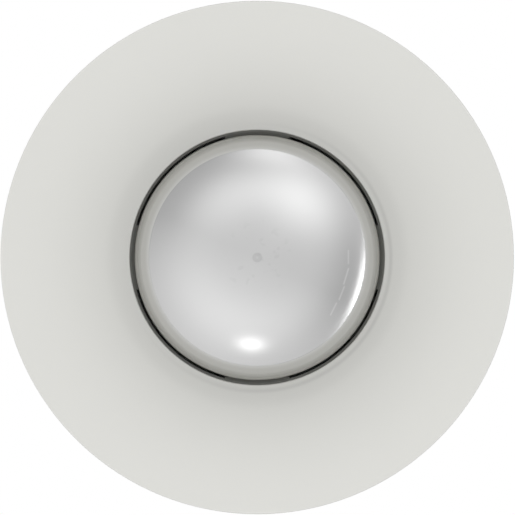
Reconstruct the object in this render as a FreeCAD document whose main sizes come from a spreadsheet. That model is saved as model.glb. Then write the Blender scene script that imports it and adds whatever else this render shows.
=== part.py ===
import FreeCAD, Part
import math
import os
import Sketcher

# Ceiling presence detector for a 60 mm device box. Millimetres; the ceiling is the plane z = 0,
# the room is below it (-z) and the box is above it (+z). The axis of the lens is the z axis.

Vector = FreeCAD.Vector
Rotation = FreeCAD.Rotation

SIZES = {
    # white flared cover
    "cover_radius": 52.5,
    "rim_depth": 2.4,
    "rim_width": 1.5,
    "rim_rounding": 0.25,
    "rim_lip": 1.2,
    "rim_lift": 0.6,
    "cover_wall": 1.8,
    "lens_gap": 1.0,
    "collar_lip": 0.12,
    "lip_rise": 0.04,
    "hook_gap": 0.2,
    "hook_wall": 1.4,
    "hook_width": 10.0,
    "hook_catch": 0.6,
    "hook_height": 0.7,
    "rib_width": 1.2,
    "rib_inset": 1.9,
    "rib_outset": 0.8,
    "rib_bite": 0.8,
    "rib_turn": 20.0,
    # milky lens
    "lens_radius": 24.9,
    "lens_rise": 9.12,
    "lens_cap_inset": 3.05,
    "lens_shoulder_inset": 1.3,
    "lens_step": 0.2,
    "lens_turnover": 7.6,
    "lens_skirt": 0.27,
    "lens_skirt_wall": 2.9,
    "lens_wall": 1.0,
    "facet_row_outer": 3.2,
    "facet_row_middle": 6.0,
    "facet_row_inner": 6.0,
    "gate_radius": 1.05,
    "gate_height": 0.06,
    "tab_wall": 1.1,
    "tab_span": 40.0,
    "tab_reach": 2.3,
    "tab_barb": 0.5,
    "tab_barb_height": 0.9,
    # grey front housing
    "ledge_depth": 13.0,
    "ledge_wall": 1.2,
    "ledge_gap": 0.7,
    "slot_gap": 0.5,
    "slot_span": 60.0,
    "shell_gap": 0.26,
    "shell_wall": 1.1,
    "clamp_wall": 1.5,
    "clamp_edge": 3.4,
    "notch_width": 8.4,
    "notch_gap": 0.5,
    # steel frame
    "frame_margin": 10.2,
    "frame_edge": 0.5,
    "frame_sheet": 1.0,
    "frame_gap": 0.5,
    "frame_land": 1.8,
    "box_pitch": 60.0,
    "box_slot_radius": 2.05,
    "box_slot_length": 7.0,
    # cup in the ceiling box
    "cup_radius": 25.0,
    "cup_wall": 1.6,
    "cup_height": 22.6,
    "cup_bevel": 0.8,
    "cup_step_height": 17.6,
    "cup_step_gap": 1.3,
    "cup_lug_inset": 1.0,
    "cup_lug_wall": 1.0,
    "cup_notch_width": 9.0,
    "cup_notch_gap": 0.9,
    "cup_rib_width": 1.5,
    "cup_rib_reach": 1.5,
    "cup_boss_radius": 2.6,
    "cup_boss_inset": 3.2,
    "cup_boss_height": 7.0,
    "cup_boss_turn": 150.0,
    "window_bottom": 6.6,
    # screws
    "clamp_screw_gap": 0.55,
    "clamp_screw_radius": 1.25,
    "clamp_head_radius": 2.35,
    "clamp_head_height": 1.4,
    "board_screw_radius": 0.95,
    "board_head_radius": 1.9,
    "board_head_height": 1.2,
    "board_screw_grip": 4.0,
    "recess_width": 0.5,
    "recess_depth": 0.6,
    "screw_clearance": 0.15,
    "thread_clearance": 0.03,
    # sensor board and what it carries
    "board_wall": 1.6,
    "sensor_board_gap": 1.2,
    "sensor_boss_radius": 2.2,
    "sensor_boss_height": 2.2,
    "sensor_boss_gap": 0.3,
    "lead_clearance": 0.12,
    "lead_tail": 1.0,
    "carrier_half": 13.0,
    "carrier_top_half": 3.0,
    "carrier_foot": 1.0,
    "sensor_tilt": 30.0,
    "sensor_place": 8.0,
    "sensor_well": 3.3,
    "can_radius": 4.05,
    "can_flange": 4.55,
    "can_flange_height": 0.4,
    "can_height": 4.2,
    "can_rounding": 0.4,
    "can_window": 3.4,
    "can_window_depth": 0.2,
    "can_lead_radius": 0.22,
    "can_lead_circle": 2.54,
    "can_lead_drop": 1.2,
    "receiver_gap": 0.9,
    "receiver_length": 5.4,
    "receiver_width": 6.8,
    "receiver_height": 2.6,
    "receiver_lens": 2.1,
    "receiver_lead": 0.25,
    "receiver_pitch": 2.54,
    "light_gap": 1.2,
    "light_length": 4.2,
    "light_width": 5.0,
    "light_height": 1.2,
    "light_window": 1.3,
    "light_window_depth": 0.2,
    "led_gap": 0.3,
    "led_side": 2.8,
    "led_height": 0.8,
    "led_dome": 1.1,
    "chip_place": 11.6,
    "chip_side": 7.0,
    "chip_height": 1.3,
    "chip_stand": 0.15,
    "chip_leg_width": 0.35,
    "chip_leg_reach": 1.0,
    "chip_leg_wall": 0.15,
    "chip_leg_pitch": 0.8,
    "crystal_place": 11.8,
    "crystal_length": 10.6,
    "crystal_width": 4.2,
    "crystal_height": 3.4,
    # board to board connector
    "plug_inset": 4.8,
    "plug_pitch": 2.54,
    "plug_width": 2.5,
    "plug_pin": 0.64,
    "plug_base": 2.5,
    "plug_pin_reach": 5.6,
    "plug_clearance": 0.1,
    # power board and what it carries
    "power_board_gap": 0.5,
    "power_board_place": 3.0,
    "relay_x": -4.0,
    "relay_y": -7.9,
    "relay_length": 18.4,
    "relay_width": 10.4,
    "relay_headroom": 1.0,
    "case_rounding": 0.6,
    "relay_lead": 0.5,
    "film_x": 8.7,
    "film_y": -6.5,
    "film_length": 12.0,
    "film_width": 4.6,
    "film_height": 12.0,
    "film_lead": 0.3,
    "film_pitch": 10.0,
    "can_cap_inset": 5.7,
    "can_cap_y": -2.6,
    "can_cap_radius": 3.5,
    "can_cap_height": 12.0,
    "can_cap_groove": 0.35,
    "can_cap_pitch": 3.5,
    "can_cap_lead": 0.25,
    "disc_inset": 6.0,
    "disc_y": 2.2,
    "disc_radius": 3.6,
    "disc_width": 3.4,
    "disc_stand": 1.0,
    "disc_pitch": 5.0,
    "disc_lead": 0.3,
    "bridge_x": -8.6,
    "bridge_y": 4.4,
    "bridge_length": 6.4,
    "bridge_width": 4.6,
    "bridge_height": 2.6,
    "bridge_lead": 0.3,
    "bridge_pitch": 5.08,
    "fuse_x": 1.6,
    "fuse_y": 4.6,
    "fuse_length": 7.4,
    "fuse_radius": 1.6,
    "fuse_pitch": 10.0,
    "fuse_lead": 0.3,
    "choke_inset": 9.8,
    "choke_gap": 0.8,
    "choke_radius": 3.2,
    "choke_core": 2.2,
    "choke_flange": 1.0,
    "choke_height": 6.6,
    "choke_pitch": 4.0,
    "choke_lead": 0.3,
    # terminal block
    "pole_count": 4,
    "pole_pitch": 5.0,
    "block_inset": 0.16,
    "block_depth": 11.0,
    "block_margin": 0.2,
    "clamp_side": 4.0,
    "clamp_depth": 6.2,
    "clamp_height": 6.0,
    "clamp_top": 14.0,
    "clamp_opening": 2.7,
    "clamp_inset": 2.4,
    "clamp_tail_width": 1.0,
    "clamp_tail_wall": 0.8,
    "terminal_screw_radius": 1.25,
    "terminal_head_radius": 1.8,
    "terminal_head_height": 1.6,
    "terminal_screw_sink": 0.4,
    "wire_hole_radius": 1.9,
    # fits
    "seat_clearance": 0.05,
    "play": 0.1,
}

doc = FreeCAD.newDocument("PresenceDetector")
sheet = doc.addObject("Spreadsheet::Sheet", "Sizes")


class Size:
    """A length together with the sheet formula it comes from."""

    def __init__(self, value, text):
        self.value = value
        self.text = text

    def __add__(self, other):
        other = size(other)
        return Size(self.value + other.value, f"({self.text} + {other.text})")

    def __sub__(self, other):
        other = size(other)
        return Size(self.value - other.value, f"({self.text} - {other.text})")

    def __mul__(self, other):
        other = size(other)
        return Size(self.value * other.value, f"({self.text} * {other.text})")

    def __truediv__(self, other):
        other = size(other)
        return Size(self.value / other.value, f"({self.text} / {other.text})")

    def __radd__(self, other):
        return size(other) + self

    def __rsub__(self, other):
        return size(other) - self

    def __rmul__(self, other):
        return size(other) * self

    def __neg__(self):
        return Size(-self.value, f"(0 - {self.text})")


def size(value):
    """Turn a plain number into a Size; leave a Size as it is."""
    if isinstance(value, Size):
        return value
    return Size(float(value), f"({float(value):.12g})")


def root(value):
    """Square root of a Size."""
    return Size(math.sqrt(value.value), f"sqrt({value.text})")


def larger(one, other):
    """The larger of two Sizes."""
    return Size(max(one.value, other.value), f"max({one.text}; {other.text})")


def sine(value):
    """Sine of a Size given in degrees."""
    return Size(math.sin(math.radians(value.value)), f"sin({value.text})")


def cosine(value):
    """Cosine of a Size given in degrees."""
    return Size(math.cos(math.radians(value.value)), f"cos({value.text})")


class Table:
    """The size table: every name becomes a sheet alias and an attribute."""

    def __init__(self, values):
        for row, (name, value) in enumerate(values.items(), start=1):
            sheet.set(f"A{row}", name)
            sheet.set(f"B{row}", str(value))
            sheet.setAlias(f"B{row}", name)
            setattr(self, name, Size(float(value), f"Sizes.{name}"))


s = Table(SIZES)
doc.recompute()


# Sketching helpers


def new_body(name):
    """One sub-part with its own origin planes."""
    body = doc.addObject("PartDesign::Body", name)
    body.Label = name
    return body


def origin(body, role):
    """A plane or axis of the sub-part's own origin."""
    return next(item for item in body.Origin.OriginFeatures if item.Role == role)


def new_sketch(body, name, role="XY_Plane", lift=0, turn=None):
    """Sketch on an origin plane, lifted along its normal or turned about the z axis."""
    sketch = body.newObject("Sketcher::SketchObject", name)
    sketch.AttachmentSupport = [(origin(body, role), "")]
    sketch.MapMode = "FlatFace"
    lift = size(lift)
    if turn is None:
        sketch.AttachmentOffset = FreeCAD.Placement(Vector(0, 0, lift.value), Rotation())
        sketch.setExpression("AttachmentOffset.Base.z", lift.text)
    else:
        turn = size(turn)
        turned = Rotation(Vector(0, 1, 0), turn.value)
        sketch.AttachmentOffset = FreeCAD.Placement(Vector(0, 0, 0), turned)
        if turn.value != 0:
            sketch.setExpression("AttachmentOffset.Rotation.Angle", turn.text)
    return sketch


def bind(sketch, constraint, value):
    """Add a dimension and tie it to its formula."""
    index = sketch.addConstraint(constraint)
    name = f"dim{index}"
    sketch.renameConstraint(index, name)
    sketch.setExpression("Constraints." + name, value.text)


def pin_point(sketch, edge, end, x, y):
    """Fix the end of an edge from the sketch origin."""
    bind(sketch, Sketcher.Constraint("DistanceX", -1, 1, edge, end, x.value), x)
    bind(sketch, Sketcher.Constraint("DistanceY", -1, 1, edge, end, y.value), y)


def split_half_rounds(points):
    """Give every half round a middle point, so that its radius can be fixed."""
    points = [tuple(size(value) for value in point[:3]) + tuple(point[3:]) for point in points]
    result = []
    for here, there in zip(points, points[1:] + points[:1]):
        result.append(here)
        if len(here) == 2:
            continue
        run, rise = there[0] - here[0], there[1] - here[1]
        if abs(math.hypot(run.value, rise.value) - 2 * here[2].value) > 0.001:
            continue
        radius, side = here[2], here[3]
        x = (here[0] + there[0]) / 2 + rise * (side / 2)
        y = (here[1] + there[1]) / 2 - run * (side / 2)
        result.append((x, y, radius, side))
    return result


def outline(sketch, points):
    """Closed outline. A point is (x, y) or (x, y, radius, side): the last two bend the edge that
    leaves it, side +1 with the centre on its left and -1 with the centre on its right."""
    points = split_half_rounds(points)
    ends = []
    for here, there in zip(points, points[1:] + points[:1]):
        start = Vector(here[0].value, here[1].value, 0)
        stop = Vector(there[0].value, there[1].value, 0)
        if len(here) == 2:
            edge = sketch.addGeometry(Part.LineSegment(start, stop), False)
            ends.append((edge, 1, 2))
            continue
        radius, side = here[2].value, here[3]
        chord = stop - start
        half = chord.Length / 2
        offset = math.sqrt(max(radius * radius - half * half, 0.0))
        left = Vector(-chord.y, chord.x, 0).normalize()
        centre = (start + stop) * 0.5 + left * offset * side
        circle = Part.Circle(centre, Vector(0, 0, 1), radius)
        angles = [math.atan2(point.y - centre.y, point.x - centre.x) for point in (start, stop)]
        if side < 0:
            angles.reverse()
        if angles[1] <= angles[0]:
            angles[1] += 2 * math.pi
        edge = sketch.addGeometry(Part.ArcOfCircle(circle, angles[0], angles[1]), False)
        ends.append((edge, 1, 2) if side > 0 else (edge, 2, 1))
    for here, there in zip(ends, ends[1:] + ends[:1]):
        sketch.addConstraint(Sketcher.Constraint("Coincident", here[0], here[2], there[0], there[1]))
    for point, (edge, start, _) in zip(points, ends):
        pin_point(sketch, edge, start, point[0], point[1])
        if len(point) > 2:
            bind(sketch, Sketcher.Constraint("Radius", edge, point[2].value), point[2])


def rectangle(sketch, x_low, y_low, x_high, y_high):
    """Rectangle between two corners."""
    outline(sketch, [(x_low, y_low), (x_high, y_low), (x_high, y_high), (x_low, y_high)])


def block(sketch, x, y, length, width):
    """Rectangle about its middle."""
    x, y, length, width = (size(value) for value in (x, y, length, width))
    rectangle(sketch, x - length / 2, y - width / 2, x + length / 2, y + width / 2)


def circle(sketch, x, y, radius):
    """Circle at a place."""
    x, y, radius = size(x), size(y), size(radius)
    centre = Vector(x.value, y.value, 0)
    edge = sketch.addGeometry(Part.Circle(centre, Vector(0, 0, 1), radius.value), False)
    pin_point(sketch, edge, 3, x, y)
    bind(sketch, Sketcher.Constraint("Radius", edge, radius.value), radius)


def ngon(sketch, radius, count, phase=0.0):
    """Regular outline with its corners on a circle."""
    corners = []
    for step in range(count):
        angle = math.radians(360.0 * step / count + phase)
        corners.append((radius * math.cos(angle), radius * math.sin(angle)))
    outline(sketch, corners)


# Feature helpers


def pad(body, sketch, length, both=False):
    """Thicken a sketch along its normal, or by half on each side."""
    feature = body.newObject("PartDesign::Pad", "Pad")
    feature.Profile = sketch
    length = size(length)
    feature.Length = length.value
    feature.setExpression("Length", length.text)
    feature.Midplane = both
    return feature


def cut(body, sketch, length, both=False):
    """Cut a sketch along its normal, or by half on each side."""
    feature = body.newObject("PartDesign::Pocket", "Pocket")
    feature.Profile = sketch
    length = size(length)
    feature.Length = length.value
    feature.setExpression("Length", length.text)
    feature.Midplane = both
    feature.Reversed = not both
    return feature


def turned(body, sketch, kind="Revolution", span=None):
    """Turn a sketch about the z axis, all round or by a span centred on it."""
    feature = body.newObject("PartDesign::" + kind, kind)
    feature.Profile = sketch
    feature.ReferenceAxis = (sketch, ["V_Axis"])
    if span is None:
        feature.Angle = 360.0
    else:
        feature.Angle = span.value
        feature.setExpression("Angle", span.text)
        feature.Midplane = True
    return feature


def ring_of(body, features, count):
    """Repeat features round the z axis."""
    feature = body.newObject("PartDesign::PolarPattern", "Ring")
    feature.Originals = features
    feature.Axis = (origin(body, "Z_Axis"), [""])
    feature.Angle = 360.0
    feature.Occurrences = count
    body.Tip = feature
    return feature


def row_of(body, features, role, pitch, count):
    """Repeat features along an origin axis."""
    feature = body.newObject("PartDesign::LinearPattern", "Row")
    feature.Originals = features
    feature.Direction = (origin(body, role), [""])
    run = pitch * (count - 1)
    feature.Length = run.value
    feature.setExpression("Length", run.text)
    feature.Occurrences = count
    body.Tip = feature
    return feature


def stud(body, x, y, radius, low, high):
    """Upright round bar."""
    low, high = size(low), size(high)
    profile = new_sketch(body, "StudProfile", lift=low)
    circle(profile, x, y, radius)
    return pad(body, profile, high - low)


def drill(body, x, y, radius, low, high):
    """Upright round hole."""
    low, high = size(low), size(high)
    profile = new_sketch(body, "DrillProfile", lift=low)
    circle(profile, x, y, radius)
    return cut(body, profile, high - low)


def box(body, x, y, length, width, low, high):
    """Upright block about a place."""
    low, high = size(low), size(high)
    profile = new_sketch(body, "BlockProfile", lift=low)
    block(profile, x, y, length, width)
    return pad(body, profile, high - low)


def polar(radius, angle):
    """Place at a radius and an angle that is fixed by the layout."""
    radius = size(radius)
    turn = math.radians(angle)
    return radius * math.cos(turn), radius * math.sin(turn)


# Planes shared by the sub-parts

ceiling = size(0)
cup_bore = s.cup_radius - s.cup_wall
cup_roof = s.cup_height - s.cup_wall
collar_bore = s.lens_radius + s.lens_gap
lip_outer = collar_bore + s.collar_lip
slot_outer = s.lens_radius + s.slot_gap
slot_inner = s.lens_radius - s.tab_wall - s.play
shell_bore = slot_outer
shell_outer = shell_bore + s.shell_wall
flare_edge = s.cover_radius - s.rim_width
flare_run = flare_edge - shell_outer - s.shell_gap
flare_drop = s.ledge_depth - s.rim_depth
flare_square = flare_run * flare_run + flare_drop * flare_drop - s.cover_wall * s.cover_wall
flare_radius = flare_square / ((flare_drop + s.cover_wall) * 2)
flare_centre = -(s.rim_depth + flare_radius)
inner_flare = flare_radius + s.cover_wall
frame_under = -s.frame_sheet
lug_under = frame_under - s.cup_lug_wall
clamp_under = lug_under - s.clamp_wall
ledge_front = -s.ledge_depth
ledge_back = ledge_front + s.ledge_wall


def flare_level(radius, sphere):
    """Height of the flared wall at a distance from the axis."""
    run = flare_edge - radius
    return flare_centre + root(sphere * sphere - run * run)


def flare_place(level, sphere):
    """Distance from the axis at which the flared wall has a height."""
    drop = level - flare_centre
    return flare_edge - root(sphere * sphere - drop * drop)


frame_bore = s.cup_radius + s.frame_gap
clamp_screw_place = larger(shell_outer + s.clamp_screw_gap + s.clamp_head_radius,
                           frame_bore + s.frame_land + s.clamp_screw_radius)
clamp_radius = clamp_screw_place + s.clamp_edge
board_front = ledge_back + s.sensor_boss_height
board_back = board_front + s.board_wall
power_front = s.power_board_place
power_back = power_front + s.board_wall
hook_inner = clamp_radius + s.hook_gap
lens_cap = s.lens_radius - s.lens_cap_inset
lens_shoulder = s.lens_radius - s.lens_shoulder_inset
lens_cavity = s.lens_radius - s.lens_skirt_wall
lens_sphere = (lens_cap * lens_cap + s.lens_rise * s.lens_rise) / (s.lens_rise * 2)
shoulder_rise = lens_sphere - root(lens_sphere * lens_sphere - lens_shoulder * lens_shoulder)
turn_run = s.lens_turnover - s.lens_shoulder_inset
turn_rise = root(s.lens_turnover * s.lens_turnover - turn_run * turn_run)
lens_apex = ledge_front - s.lens_skirt - turn_rise - s.lens_step * 2 - shoulder_rise
lens_centre = lens_apex + lens_sphere
tab_inner = s.lens_radius - s.tab_wall
sensor_boss_place = tab_inner - s.tab_barb - s.sensor_boss_gap - s.sensor_boss_radius
cup_lug_radius = clamp_radius - s.cup_lug_inset
cup_boss_place = cup_bore - s.cup_boss_inset
plug_place = cup_bore - s.plug_inset
block_half = s.pole_pitch * s.pole_count / 2 + s.block_margin
block_front = root(cup_bore * cup_bore - block_half * block_half) - s.block_inset
block_back = block_front - s.block_depth
clamp_back = block_back + s.clamp_inset
can_cap_x = cup_bore - s.can_cap_inset
disc_x = s.disc_inset - cup_bore
choke_x = cup_bore - s.choke_inset
choke_y = block_back - s.choke_gap - s.choke_radius
socket_top = power_front - s.plug_base - s.play
receiver_place = s.carrier_half + s.receiver_gap + s.receiver_length / 2
ledge_bore = receiver_place + s.receiver_length / 2 + s.ledge_gap
light_place = s.carrier_half + s.light_gap + s.light_length / 2
led_place = s.carrier_half + s.led_gap + s.led_side / 2


def lens_level(radius, sphere):
    """Height of a lens sphere at a distance from the axis."""
    return lens_centre - root(sphere * sphere - radius * radius)


def build_cover_ring():
    """Flared trim with a rolled lip, four snap hooks and eight stop ribs."""
    body = new_body("cover_ring")
    foot = ledge_front - 6 * s.seat_clearance
    foot_radius = flare_place(foot, inner_flare)
    flare_top = flare_level(lip_outer, flare_radius)
    lip_start = flare_top - s.lip_rise
    section = new_sketch(body, "CoverSection", "XZ_Plane")
    outline(section, [
        (s.cover_radius, 0),
        (s.cover_radius - s.rim_lip, 0),
        (s.cover_radius - s.rim_lip, -s.rim_lift),
        (flare_edge, -s.rim_lift, inner_flare, 1),
        (foot_radius, foot),
        (collar_bore, foot),
        (collar_bore, lip_start, s.collar_lip / 2, 1),
        (lip_outer, lip_start),
        (lip_outer, flare_top, flare_radius, -1),
        (flare_edge, -s.rim_depth),
        (s.cover_radius - s.rim_rounding, -s.rim_depth, s.rim_rounding, 1),
        (s.cover_radius, s.rim_rounding - s.rim_depth),
    ])
    turned(body, section)
    hook_top = frame_under - 3 * s.seat_clearance
    hook_seat = lug_under + s.seat_clearance
    hook_root = flare_level(hook_inner + s.hook_wall, inner_flare) - s.rib_bite
    catch = clamp_radius - s.hook_catch
    hook = new_sketch(body, "HookSection", "XZ_Plane", turn=45)
    outline(hook, [
        (hook_inner, hook_root - s.rib_bite),
        (hook_inner + s.hook_wall, hook_root),
        (hook_inner + s.hook_wall, hook_top),
        (hook_inner, hook_top),
        (catch, hook_seat + s.hook_height / 2),
        (catch, hook_seat),
        (hook_inner, hook_seat),
    ])
    hooks = pad(body, hook, s.hook_width, both=True)
    ring_of(body, [hooks], 4)
    rib_inner = shell_outer + s.rib_inset
    rib_outer = clamp_radius - s.rib_outset
    stops = []
    for side in (-1, 1):
        rib = new_sketch(body, "RibSection", "XZ_Plane", turn=45 + side * s.rib_turn)
        top = clamp_under - s.seat_clearance
        outline(rib, [
            (rib_inner, flare_level(rib_inner, inner_flare) - s.rib_bite),
            (rib_outer, flare_level(rib_outer, inner_flare) - s.rib_bite),
            (rib_outer, top),
            (rib_inner, top),
        ])
        stops.append(pad(body, rib, s.rib_width, both=True))
    ring_of(body, stops, 4)
    return body


def build_lens_dome():
    """Domed lens: smooth outside, rings of flat facets inside, four snap tabs below its foot."""
    body = new_body("lens_dome")
    cap_end = lens_level(lens_cap, lens_sphere)
    shoulder_end = lens_level(lens_shoulder, lens_sphere) + s.lens_step
    wall_start = shoulder_end + s.lens_step + turn_rise
    ring_one = lens_cavity - s.facet_row_outer
    ring_two = ring_one - s.facet_row_middle
    ring_three = ring_two - s.facet_row_inner
    inner_sphere = lens_sphere - s.lens_wall
    levels = [lens_level(ring, inner_sphere) for ring in
              (lens_cavity, ring_one, ring_two, ring_three)]
    section = new_sketch(body, "LensSection", "XZ_Plane")
    outline(section, [
        (0, levels[0]),
        (0, lens_apex, lens_sphere, 1),
        (lens_cap, cap_end),
        (lens_cap, cap_end + s.lens_step, lens_sphere, 1),
        (lens_shoulder, shoulder_end),
        (lens_shoulder, shoulder_end + s.lens_step, s.lens_turnover, 1),
        (s.lens_radius, wall_start),
        (s.lens_radius, ledge_front - s.seat_clearance),
        (lens_cavity, ledge_front - s.seat_clearance),
        (lens_cavity, levels[0]),
    ])
    turned(body, section)
    rings = [
        (lens_cavity, levels[0], ring_one, levels[1], 16, 0.0),
        (ring_one, levels[1], ring_two, levels[2], 16, 11.25),
        (ring_two, levels[2], ring_three, levels[3], 8, 0.0),
    ]
    for wide, low, narrow, high, count, phase in rings:
        base = new_sketch(body, "FacetBase", lift=low)
        ngon(base, wide, count, phase)
        crown = new_sketch(body, "FacetCrown", lift=high)
        ngon(crown, narrow, count, phase)
        facets = body.newObject("PartDesign::SubtractiveLoft", "Facets")
        facets.Profile = base
        facets.Sections = [crown]
        facets.Ruled = True
    stud(body, 0, 0, s.gate_radius, lens_apex - s.gate_height, lens_apex + s.lens_wall / 2)
    tab_end = ledge_front + s.tab_reach
    barb = ledge_back + s.seat_clearance
    tab = new_sketch(body, "TabSection", "XZ_Plane", turn=45)
    outline(tab, [
        (tab_inner, ledge_front - s.lens_step),
        (s.lens_radius, ledge_front - s.lens_step),
        (s.lens_radius, tab_end),
        (tab_inner, tab_end),
        (tab_inner - s.tab_barb, barb + s.tab_barb_height / 2),
        (tab_inner - s.tab_barb, barb),
        (tab_inner, barb),
    ])
    tabs = turned(body, tab, span=s.tab_span)
    ring_of(body, [tabs], 4)
    return body


def build_front_housing():
    """Grey shell with the slotted ledge under the lens and a notched clamping flange."""
    body = new_body("front_housing")
    section = new_sketch(body, "HousingSection", "XZ_Plane")
    outline(section, [
        (ledge_bore, ledge_front),
        (shell_outer, ledge_front),
        (shell_outer, clamp_under),
        (clamp_radius, clamp_under),
        (clamp_radius, lug_under),
        (shell_bore, lug_under),
        (shell_bore, ledge_back),
        (ledge_bore, ledge_back),
    ])
    turned(body, section)
    slot = new_sketch(body, "SlotSection", "XZ_Plane", turn=45)
    rectangle(slot, slot_inner, ledge_front - s.play, slot_outer, ledge_back + s.play)
    slots = turned(body, slot, "Groove", s.slot_span)
    ring_of(body, [slots], 4)
    notch = new_sketch(body, "NotchProfile", lift=clamp_under - s.play)
    rectangle(notch, shell_outer + s.notch_gap, -s.notch_width / 2, clamp_radius + 1,
              s.notch_width / 2)
    notches = cut(body, notch, s.clamp_wall + 2 * s.play)
    ring_of(body, [notches], 4)
    x, y = polar(clamp_screw_place, 45)
    hole = drill(body, x, y, s.clamp_screw_radius + s.screw_clearance, clamp_under - s.play,
                 lug_under + s.play)
    ring_of(body, [hole], 4)
    x, y = polar(sensor_boss_place, 90)
    boss = stud(body, x, y, s.sensor_boss_radius, ledge_back - s.play, board_front)
    ring_of(body, [boss], 3)
    bore = drill(body, x, y, s.board_screw_radius + s.thread_clearance,
                 board_back - s.board_screw_grip, board_front + s.play)
    ring_of(body, [bore], 3)
    return body


def build_support_frame():
    """Flat steel frame on the ceiling with four slots for the box screws."""
    body = new_body("support_frame")
    reach = s.cover_radius - s.frame_margin
    flat = (s.box_pitch + s.box_slot_length) / 2 + s.frame_edge
    sheet_shape = new_sketch(body, "FrameProfile", lift=frame_under)
    circle(sheet_shape, 0, 0, reach)
    circle(sheet_shape, 0, 0, frame_bore)
    pad(body, sheet_shape, s.frame_sheet)
    trim = new_sketch(body, "FrameFlat", lift=frame_under - s.play)
    rectangle(trim, flat, -reach, reach + flat, reach)
    flats = cut(body, trim, s.frame_sheet + 2 * s.play)
    ring_of(body, [flats], 4)
    run = s.box_slot_length / 2 - s.box_slot_radius
    slot = new_sketch(body, "BoxSlot", lift=frame_under - s.play)
    outline(slot, [
        (s.box_pitch / 2 - run, -s.box_slot_radius),
        (s.box_pitch / 2 + run, -s.box_slot_radius, s.box_slot_radius, 1),
        (s.box_pitch / 2 + run, s.box_slot_radius),
        (s.box_pitch / 2 - run, s.box_slot_radius, s.box_slot_radius, 1),
    ])
    slots = cut(body, slot, s.frame_sheet + 2 * s.play)
    ring_of(body, [slots], 4)
    x, y = polar(clamp_screw_place, 45)
    hole = drill(body, x, y, s.clamp_screw_radius + s.thread_clearance, frame_under - s.play,
                 ceiling + s.play)
    ring_of(body, [hole], 4)
    return body


def build_rear_housing():
    """Cup in the ceiling box, stepped back at the terminals, with lugs under the steel frame."""
    body = new_body("rear_housing")
    section = new_sketch(body, "CupSection", "XZ_Plane")
    outline(section, [
        (cup_bore, lug_under),
        (cup_lug_radius, lug_under),
        (cup_lug_radius, frame_under - s.seat_clearance),
        (s.cup_radius, frame_under - s.seat_clearance),
        (s.cup_radius, s.cup_height - s.cup_bevel),
        (s.cup_radius - s.cup_bevel, s.cup_height),
        (0, s.cup_height),
        (0, cup_roof),
        (cup_bore, cup_roof),
    ])
    turned(body, section)
    edge = s.cup_radius + 1
    step_place = block_back - s.cup_step_gap
    step_wall = new_sketch(body, "StepFill", lift=s.cup_step_height - s.cup_wall)
    run = root(cup_bore * cup_bore - step_place * step_place)
    outline(step_wall, [
        (-run, step_place),
        (run, step_place, cup_bore + s.play, 1),
    ])
    pad(body, step_wall, cup_roof - s.cup_step_height + s.cup_wall + s.play)
    step = new_sketch(body, "StepCut", lift=s.cup_step_height)
    rectangle(step, -edge, step_place + s.cup_wall, edge, edge)
    cut(body, step, s.cup_height)
    window = new_sketch(body, "TerminalWindow", lift=s.window_bottom)
    half = block_half + s.play
    rectangle(window, -half, block_back - s.play, half, edge)
    cut(body, window, s.cup_height)
    notch = new_sketch(body, "LugNotch", lift=lug_under - s.play)
    rectangle(notch, s.cup_radius + s.cup_notch_gap, -s.cup_notch_width / 2, cup_lug_radius + 1,
              s.cup_notch_width / 2)
    notches = cut(body, notch, s.cup_lug_wall + 2 * s.play)
    ring_of(body, [notches], 4)
    x, y = polar(clamp_screw_place, 45)
    hole = drill(body, x, y, s.clamp_screw_radius + s.screw_clearance, lug_under - s.play,
                 frame_under + s.play)
    ring_of(body, [hole], 4)
    rib_top = cup_roof + s.play
    for angle in (0, 180, 240, 300):
        rib = new_sketch(body, "BoardRib", "XZ_Plane", turn=angle)
        rectangle(rib, cup_bore - s.cup_rib_reach, power_back, cup_bore + s.play, rib_top)
        pad(body, rib, s.cup_rib_width, both=True)
    for turn in (s.cup_boss_turn, s.cup_boss_turn + 180):
        x, y = cup_boss_place * cosine(turn), cup_boss_place * sine(turn)
        top = power_back + s.cup_boss_height
        stud(body, x, y, s.cup_boss_radius, power_back, top)
        web_inner = cup_boss_place + s.cup_boss_radius / 2
        web = new_sketch(body, "BossWeb", "XZ_Plane", turn=turn)
        rectangle(web, web_inner, power_back, cup_bore + s.play, top)
        pad(body, web, s.cup_rib_width, both=True)
        drill(body, x, y, s.board_screw_radius + s.thread_clearance, power_back - s.play,
              power_front + s.board_screw_grip)
    return body


def screw(body, x, y, radius, head_radius, head_height, head, seat, tip):
    """Pan head screw with a cross recess; the head lies on its seat and the tip is beyond it."""
    outside = head - head_height
    features = [
        stud(body, x, y, head_radius, outside, seat),
        stud(body, x, y, radius, seat - s.recess_depth / 2, tip),
    ]
    for length, width in ((head_radius * 1.2, s.recess_width), (s.recess_width, head_radius * 1.2)):
        slot = new_sketch(body, "Recess", lift=outside - s.play)
        block(slot, x, y, length, width)
        features.append(cut(body, slot, s.recess_depth + s.play))
    return features


def build_housing_screws():
    """Four screws through the flange and the cup lugs into the tapped steel frame."""
    body = new_body("housing_screws")
    x, y = polar(clamp_screw_place, 45)
    features = screw(body, x, y, s.clamp_screw_radius, s.clamp_head_radius, s.clamp_head_height,
                     clamp_under, clamp_under, ceiling - s.play)
    ring_of(body, features, 4)
    return body


def build_sensor_board_screws():
    """Three screws through the sensor board into the bosses of the front housing."""
    body = new_body("sensor_board_screws")
    x, y = polar(sensor_boss_place, 90)
    head_top = board_back + s.board_head_height
    features = [
        stud(body, x, y, s.board_head_radius, board_back, head_top),
        stud(body, x, y, s.board_screw_radius, board_back - s.board_screw_grip + s.play,
             board_back + s.play),
    ]
    span = s.board_head_radius * 1.2
    for length, width in ((span, s.recess_width), (s.recess_width, span)):
        slot = new_sketch(body, "Recess", lift=head_top - s.recess_depth)
        block(slot, x, y, length, width)
        features.append(cut(body, slot, s.recess_depth + s.play))
    ring_of(body, features, 3)
    return body


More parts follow.
